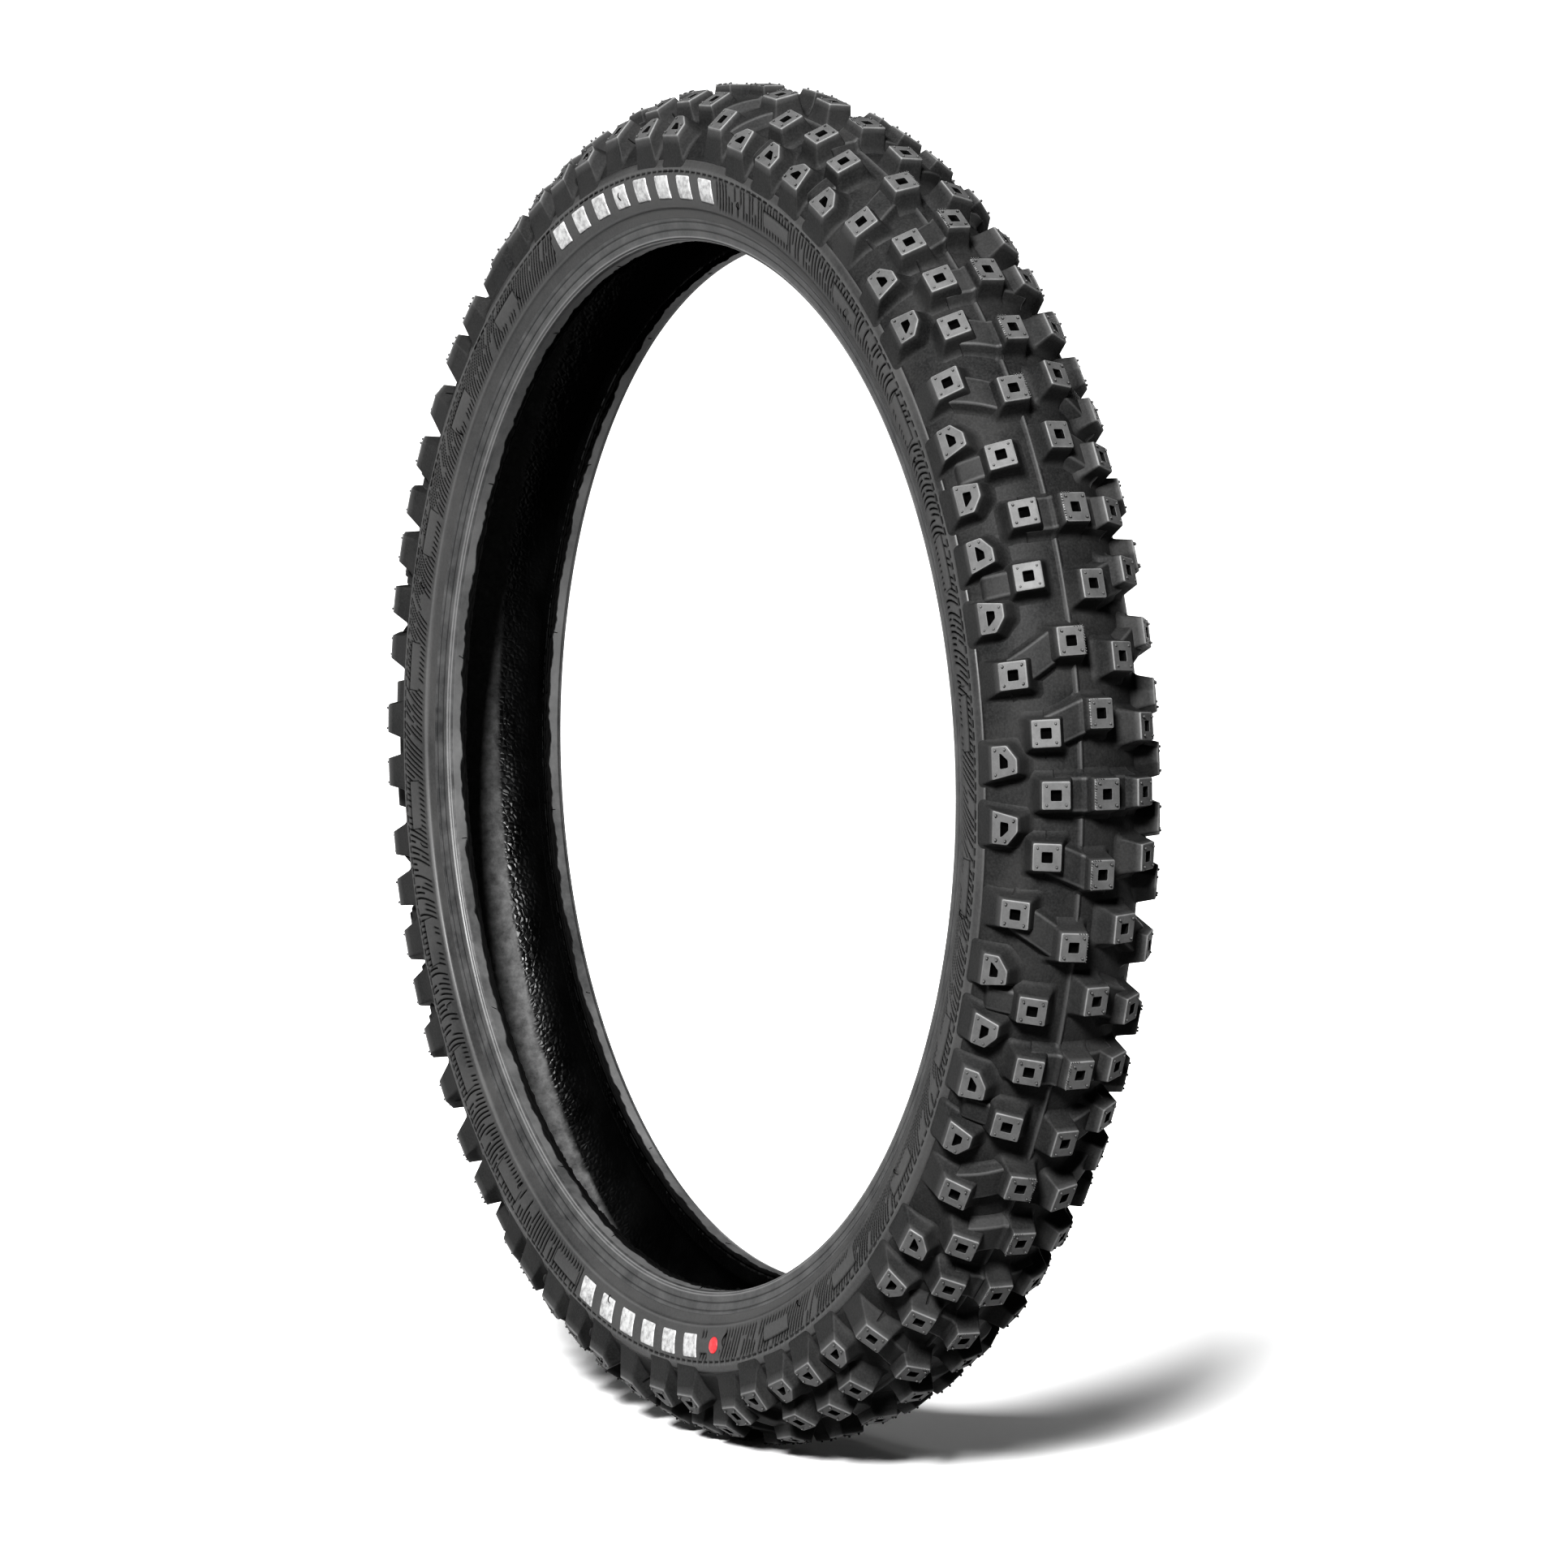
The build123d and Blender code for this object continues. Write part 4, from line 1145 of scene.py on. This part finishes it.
def chafer(side, word, seed):
    """Bead rubber: foot of the flange, two fine ridges at the heel, the seat and the toe."""
    _, flange = split_line(flange_line(34), CHAFER_TOP)
    heel = arc_through(FLANGE_FOOT, HEEL_MIDDLE, (HEEL, SEAT_RADIUS), HEEL_STEPS)
    seat = resample([(HEEL, SEAT_RADIUS), (BEAD_INNER + CHAFER, SEAT_RADIUS)], 0.5)
    toe = arc_through(
        (BEAD_INNER + CHAFER, SEAT_RADIUS),
        (BEAD_INNER + 0.42, SEAT_RADIUS + 0.42),
        (BEAD_INNER, SEAT_RADIUS + CHAFER),
        5,
    )
    outer = np.vstack([flange[:-1], heel, seat[1:-1], toe])
    inner = np.array(
        [
            (BEAD_INNER, CORE_FLOOR),
            (CORE_RIGHT, CORE_FLOOR),
            (CORE_RIGHT, CHAFER_TOP),
        ]
    )
    section = np.vstack([outer, inner])
    sections = np.tile(section, (BEAD_STEPS, 1, 1))
    away = normals(outer)
    travel = travel_along(outer)
    heel_start = travel[len(flange) - 1]
    heel_length = travel[len(flange) + HEEL_STEPS - 2] - heel_start
    lift = np.zeros(len(outer))
    shine = np.zeros(len(outer))
    for share, height, half in RIDGES:
        off = (travel - heel_start - share * heel_length) / (half * 1.6)
        bump_shape = np.where(np.abs(off) < 1, np.cos(off * np.pi / 2) ** 2, 0)
        lift += height * bump_shape
        # Painted highlight: the ridge crests are painted paler.
        shine = np.maximum(shine, 0.55 * bump_shape)
    line_depth = np.zeros(len(outer))
    for radius in FACE_LINES:
        off = np.abs(outer[:, 1] - radius) / 0.55
        on_face = np.where(travel < heel_start, np.clip(1 - off, 0, 1), 0)
        line_depth = np.maximum(line_depth, on_face)
    lift -= 0.3 * line_depth
    wander = 0.22 * smooth_noise(BEAD_STEPS, 130, seed)
    on_seat = smooth_step(0, 1, (outer[:, 0] < HEEL).astype(float))
    sections[:, : len(outer)] += away * (lift + 0.3 * wander[:, None] * on_seat)[..., None]
    wear_and_painted_light = np.zeros(sections.shape[:2])
    patch = 0.5 + 0.5 * smooth_noise(BEAD_STEPS, 48, seed + 1)
    ragged = 0.9 * smooth_noise(BEAD_STEPS, 190, seed + 2)
    ragged += 0.5 * smooth_noise(BEAD_STEPS, 520, seed + 3)
    fringe = on_seat * (1 - smooth_step(-0.3, 0.3, outer[:, 0] - FRINGE - ragged[:, None]))
    lumps = smooth_noise(BEAD_STEPS, 700, seed + 4)[:, None] * np.sin(2.6 * outer[:, 0])
    sections[:, : len(outer)] += away * (0.35 * fringe * lumps)[..., None]
    # Painted highlight on the ridges, and grey rubbing in patches on the seat beside the fringe.
    wear_and_painted_light[:, : len(outer)] = shine + (0.1 + 0.35 * patch[:, None]) * on_seat * (1 - fringe)
    # Painted shade: near-black on the fringe at the toe and in the face lines.
    darkening = np.zeros(sections.shape[:2])
    darkening[:, : len(outer)] = np.clip(0.98 * fringe + 0.7 * line_depth, 0, 1)
    values = {"darkening": darkening.ravel(), "wear_and_painted_light": wear_and_painted_light.ravel()}
    piece = ring(f"bead_surface_{word}", sections, side, values)
    place(piece, BEAD, "chafer_rubber", f"chafer_{word}")


def toe_flash(side, word, seed):
    """Thin ragged fin of rubber left along the toe, darkened near-black as painted shade."""
    steps = 2400
    height = 0.55 + 0.5 * smooth_noise(steps, 420, seed)
    height += 0.45 * smooth_noise(steps, 900, seed + 1)
    height = np.clip(height, 0.05, 1.5)[:, None]
    lateral = np.array([25.4, 24.5, 24.05, 23.9])
    drop = np.array([-0.35, 1.0, 1.0, -1.4])
    radius = SEAT_RADIUS - drop[None, :] * np.where(drop > 0, height, 1)
    sway = 0.15 * smooth_noise(steps, 300, seed + 2)[:, None] * (drop > 0)
    sections = np.stack([lateral[None, :] + sway, radius], -1)
    count = steps * len(drop)
    values = {"darkening": np.full(count, 0.9), "wear_and_painted_light": np.zeros(count)}
    piece = ring(f"toe_flash_{word}", sections, side, values)
    place(piece, SIDEWALL, "sidewall_rubber")


for bead_side, bead_word, bead_seed in ((1, "right", 31), (-1, "left", 41)):
    chafer(bead_side, bead_word, bead_seed)
    toe_flash(bead_side, bead_word, bead_seed + 5)


# ---------------------------------------------------------------- liner

LINER_STEPS = 1080
DUST_HALF = 22.0  # half-width of the smooth dusty band under the crown


def liner():
    """Inside surface: the bladder's wavy net, and a smoother dusty band under the crown."""
    toe = SEAT_RADIUS + CHAFER
    inner_half = resample(casing_half(0.0, 0, 30, 16, toe), 2.1)
    outer_half = resample(casing_half(LINER, 0, 30, 16, toe), 8.0)
    mirror = np.array([-1, 1])
    inner = np.vstack([inner_half[::-1], inner_half[1:] * mirror])
    outer = np.vstack([outer_half[::-1] * mirror, outer_half[1:]])
    travel = travel_along(inner)
    around = np.linspace(0, 2 * np.pi, LINER_STEPS, endpoint=False)[:, None] * 300
    sway = 2.1 * np.sin(travel * 0.19 + 1.4 * np.sin(around * 0.06)) + 1.3 * np.sin(around * 0.23)
    net = np.abs(np.sin(around * 0.36 + sway))
    net = net * np.abs(np.sin(travel * 0.4 + 0.8 * np.sin(around * 0.31)))
    drift = 0.5 + 0.5 * np.sin(around / 300 * 3 + 1.0)
    border = smooth_step(274.0, 281.0, inner[:, 1])
    dust_edge = DUST_HALF + 0.7 * smooth_noise(LINER_STEPS, 260, 71)[:, None]
    under_crown = (inner[:, 1] > CAVITY_CENTRE[1]).astype(float)
    dust = under_crown * (1 - smooth_step(-1.2, 1.2, np.abs(inner[:, 0]) - dust_edge))
    lift = 0.4 * (0.45 + 0.55 * drift) * (net - 0.4) * border * (1 - 0.85 * dust)
    sections = np.tile(np.vstack([outer, inner]), (LINER_STEPS, 1, 1))
    sections[:, len(outer) :] += normals(inner) * lift[..., None]
    dull = np.zeros(sections.shape[:2])
    dull[:, len(outer) :] = dust
    piece = ring("liner_surface", sections, 1, {"dull": dull.ravel()})
    place(piece, INNER, "liner_rubber", "inner_liner")


liner()


# ---------------------------------------------------------------- marks on the band

BAND_CENTRE, BAND_ARC = circle_through(BAND_OUTER, BAND_MIDDLE, BAND_INNER)


def on_band(angle, radius, lift, side):
    """Points on the band at angles and radii, raised by a lift."""
    rise = radius - BAND_CENTRE[1]
    lean = np.arctan2(np.sqrt(BAND_ARC**2 - rise**2), rise)
    lateral = BAND_CENTRE[0] + (BAND_ARC + lift) * np.sin(lean)
    reach = BAND_CENTRE[1] + (BAND_ARC + lift) * np.cos(lean)
    turn = np.radians(angle)
    return np.stack([reach * np.cos(turn), -side * lateral, reach * np.sin(turn)], -1)


def raised_patch(outline_rings, side):
    """Closed raised patch on the band from rings of (angle, radius, lift), the first innermost."""
    form = Form()
    rings = [on_band(angle, radius, lift, side) for angle, radius, lift in outline_rings]
    form.rings(rings, [0.0] * len(rings))
    return form.arrays()


def join(name, shapes, side, material, slot, *nodes, values=None):
    """One piece from several closed shapes, with the same value all over for each attribute."""
    points, quads, triangles, size = [], [], [], 0
    order = slice(None) if side > 0 else slice(None, None, -1)
    for vertices, four, three, _ in shapes:
        points.append(vertices)
        quads.append(size + four[:, order])
        triangles.append(size + three[:, order])
        size += len(vertices)
    everywhere = {key: np.full(size, value) for key, value in (values or {}).items()}
    faces = [np.vstack(quads), np.vstack(triangles)]
    place(make_piece(name, np.vstack(points), faces, everywhere), material, slot, *nodes)


def marks(side, word):
    """Plain slanted bars of white rubber."""
    middle = sum(MARK_RADII) / 2
    tall = MARK_RADII[1] - MARK_RADII[0]
    wide = radians(MARK_SWEEP) * middle
    shapes = []
    for centre, count in MARK_GROUPS:
        for index in range(count):
            angle = centre + MARK_PITCH * (index - (count - 1) / 2)
            rings = []
            for inset, lift in ((1.6, 0.6), (0.7, 0.6), (0.3, 0.52), (0.0, 0.2), (-0.1, -0.3)):
                corners = shrink(rectangle(wide, tall), max(inset, 0) + 0.1)
                outline = rounded(corners, 1.0)
                lean = 0.16 * outline[:, 1]
                around = angle + np.degrees((outline[:, 0] * 0.86 + lean) / middle)
                rings.append((around, middle + outline[:, 1], lift * MARK_THICKNESS / 0.6))
            shapes.append(raised_patch(rings, side))
    join(f"white_bars_{word}", shapes, side, WHITE, "white_rubber", f"sidewall_marks_{word}")


marks(1, "right")
marks(-1, "left")


def balance_dot():
    """Round spot of marking paint."""
    turn = np.linspace(0, 2 * np.pi, 48, endpoint=False)
    rings = []
    for scale, lift in ((0.5, 0.5), (0.85, 0.48), (0.96, 0.38), (1.0, 0.15), (1.0, -0.3)):
        around = DOT_ANGLE + np.degrees(DOT_RADIUS * scale * np.cos(turn) / DOT_PLACE)
        rings.append((around, DOT_PLACE + DOT_RADIUS * scale * np.sin(turn), lift))
    shape = raised_patch(rings, 1)
    join("red_dot", [shape], 1, RED, "dot_paint", "balance_dot")


balance_dot()


# ---------------------------------------------------------------- vent hairs


def tube(line, radius, sides=6):
    """Closed tube along a line, tapering to its far end."""
    line = np.asarray(line, float)
    along = np.gradient(line, axis=0)
    along /= np.linalg.norm(along, axis=1)[:, None]
    first = np.cross(along, [0.3, 1.0, 0.2])
    first /= np.linalg.norm(first, axis=1)[:, None]
    second = np.cross(along, first)
    turn = np.linspace(0, 2 * np.pi, sides, endpoint=False)
    taper = np.linspace(1.0, 0.55, len(line))[:, None, None] * radius
    circle = np.cos(turn)[None, :, None] * first[:, None]
    circle = circle + np.sin(turn)[None, :, None] * second[:, None]
    form = Form()
    form.rings((line[:, None] + taper * circle)[::-1], [0.0] * len(line))
    return form.arrays()


def place_on(section_point, angle):
    """Point at a (lateral, radius) place and an angle, on the right."""
    lateral, radius = section_point
    return np.array(
        [radius * np.cos(radians(angle)), -lateral, radius * np.sin(radians(angle))]
    )


def hair(start, end, angle, lean, stand_off, draw):
    """Thin stub of rubber lying over the surface between two section places."""
    share = np.linspace(0, 1, 9)
    bow = np.sin(share * np.pi)
    sway = draw.uniform(-0.12, 0.12)
    line = []
    for s, b in zip(share, bow):
        lateral = start[0] + (end[0] - start[0]) * s + stand_off * b * 0.7
        radius = start[1] + (end[1] - start[1]) * s - stand_off * b * 0.7
        line.append(place_on((lateral, radius), angle + lean * s + sway * b))
    return tube(line, 0.3)


def vent_hairs(side, word, seed):
    draw = np.random.default_rng(seed)
    shapes = []
    for index in range(17):
        angle = 21.2 * index + draw.uniform(-3, 3)
        stop = draw.uniform(25.6, 29.0)
        shapes.append(hair((34.3, 268.0), (stop, 265.6), angle, draw.uniform(-0.9, 0.9), 0.5, draw))
    for index in range(16):
        angle = 22.5 * index + 9 + draw.uniform(-4, 4)
        radius = draw.uniform(285, 291)
        lean = draw.uniform(-0.8, 0.8)
        upper = on_band(np.array(angle), np.array(radius + draw.uniform(3.5, 6.5)), 0.25, 1)
        lower = on_band(np.array(angle + lean), np.array(radius), 0.1, 1)
        share = np.linspace(0, 1, 7)[:, None]
        line = lower * (1 - share) + upper * share
        line[:, 1] -= 1.2 * np.sin(share[:, 0] * np.pi)
        shapes.append(tube(line, 0.3))
    mirrored = [(p * np.array([1, side, 1]), q, t, v) for p, q, t, v in shapes]
    # The hairs get the full darkening as in the grooves: near-black and without shine.
    finish = {"darkening": 0.9, "wear_and_painted_light": 0.0}
    join(f"vent_hairs_{word}", mirrored, side, SIDEWALL, "sidewall_rubber", values=finish)


vent_hairs(1, "right", 51)
vent_hairs(-1, "left", 61)


# ---------------------------------------------------------------- layers kept from the CAD

CAD_FINISHES = {
    "body_ply_inner": PLY_FABRIC,
    "body_ply_outer": PLY_FABRIC,
    "crown_breaker": PLY_FABRIC,
    "undertread": FILLER,
}
for word in ("left", "right"):
    CAD_FINISHES[f"bead_filler_{word}"] = FILLER
    CAD_FINISHES[f"bead_wrap_{word}"] = WRAP_FABRIC
    CAD_FINISHES[f"bead_wires_{word}"] = STEEL
for name, finish in CAD_FINISHES.items():
    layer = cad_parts[name]
    layer.data.materials.clear()
    layer.data.materials.append(finish)


# ---------------------------------------------------------------- floor, light and camera

AZIMUTH, ELEVATION = radians(60.382), radians(4.151)
DISTANCE = 3.0192
LENS = 135.79
BACK = Vector(
    (
        np.sin(AZIMUTH) * np.cos(ELEVATION),
        -np.cos(AZIMUTH) * np.cos(ELEVATION),
        np.sin(ELEVATION),
    )
)
ASIDE = Vector((np.cos(AZIMUTH), np.sin(AZIMUTH), 0))
ABOVE = BACK.cross(ASIDE)
AIM = 0.02159 * ASIDE - 0.00977 * ABOVE
GROUND = cad_low.z
GLOW = (0.2, 1.0)  # the floor's glow for the camera rises between these distances: painted light that fades the shadow as the floor passes into the white backdrop


def floor():
    """Wide white floor that the tyre stands on, glowing for the camera more with distance as painted
    light.
    """
    half = 14.0
    mesh = bpy.data.meshes.new("floor")
    mesh.from_pydata(
        [(-half, -half, GROUND), (half, -half, GROUND), (half, half, GROUND), (-half, half, GROUND)],
        [],
        [(0, 1, 2, 3)],
    )
    piece = bpy.data.objects.new("floor", mesh)
    bpy.context.collection.objects.link(piece)
    material, tree, shader, coordinates = new_material("floor_paint")
    colour = ramp(tree, noise(tree, coordinates, 3.0), 0.3, 0.7, grey(0.86), grey(0.88))
    tree.links.new(colour, shader.inputs["Base Color"])
    shader.inputs["Roughness"].default_value = 0.9
    shader.inputs["Specular IOR Level"].default_value = 0.0
    flat = node(tree, "ShaderNodeVectorMath", {0: coordinates, 1: (1, 1, 0)}, operation="MULTIPLY")
    away = node(tree, "ShaderNodeVectorMath", {0: flat.outputs["Vector"]}, operation="LENGTH")
    glow = remap(tree, away.outputs["Value"], GLOW[0], GLOW[1], 0.0, 1.0)
    path = node(tree, "ShaderNodeLightPath")
    seen = node(
        tree, "ShaderNodeMath", {0: glow, 1: path.outputs["Is Camera Ray"]}, operation="MULTIPLY"
    )
    shader.inputs["Emission Color"].default_value = (1, 1, 1, 1)
    tree.links.new(seen.outputs["Value"], shader.inputs["Emission Strength"])
    mesh.materials.append(material)
    piece.visible_diffuse = False


def softbox(name, direction, distance, size, watts):
    """Square soft light that points at the wheel centre."""
    light = bpy.data.lights.new(name, "AREA")
    light.shape = "RECTANGLE"
    light.size, light.size_y = size
    light.energy = watts
    lamp = bpy.data.objects.new(name, light)
    lamp.location = direction.normalized() * distance
    lamp.rotation_euler = direction.to_track_quat("Z", "Y").to_euler()
    bpy.context.collection.objects.link(lamp)


def surroundings():
    """White backdrop for the camera, and a softer light on the object from all around."""
    world = bpy.data.worlds.new("studio")
    world.use_nodes = True
    tree = world.node_tree
    tree.nodes.clear()
    seen = node(tree, "ShaderNodeBackground", {"Color": (1, 1, 1, 1), "Strength": 1.1})
    lit = node(tree, "ShaderNodeBackground", {"Color": (1, 1, 1, 1), "Strength": 0.02})
    path = node(tree, "ShaderNodeLightPath")
    chosen = node(tree, "ShaderNodeMixShader")
    output = node(tree, "ShaderNodeOutputWorld")
    tree.links.new(path.outputs["Is Camera Ray"], chosen.inputs[0])
    tree.links.new(lit.outputs[0], chosen.inputs[1])
    tree.links.new(seen.outputs[0], chosen.inputs[2])
    tree.links.new(chosen.outputs[0], output.inputs[0])
    bpy.context.scene.world = world


def camera():
    lens = bpy.data.cameras.new("camera")
    lens.sensor_width = 36.0
    lens.lens = LENS
    lens.clip_end = 100.0
    viewer = bpy.data.objects.new("camera", lens)
    bpy.context.collection.objects.link(viewer)
    viewer.matrix_world = Matrix.Translation(AIM + BACK * DISTANCE) @ Matrix(
        (ASIDE, ABOVE, BACK)
    ).transposed().to_4x4()
    bpy.context.scene.camera = viewer


floor()
softbox("key", Vector((0.665, -0.573, 0.485)), 6.0, (1.2, 1.2), 880)
softbox("top", Vector((0.05, -0.1, 1.0)), 1.3, (1.0, 0.7), 4)
softbox("side", Vector((-0.85, -0.5, 0.15)), 2.6, (1.5, 1.5), 10)
softbox("back", Vector((-0.6, 0.78, 0.12)), 3.0, (2.0, 0.9), 16)
surroundings()
camera()
bpy.context.scene.view_settings.view_transform = "Standard"
bpy.context.scene.view_settings.look = "High Contrast"
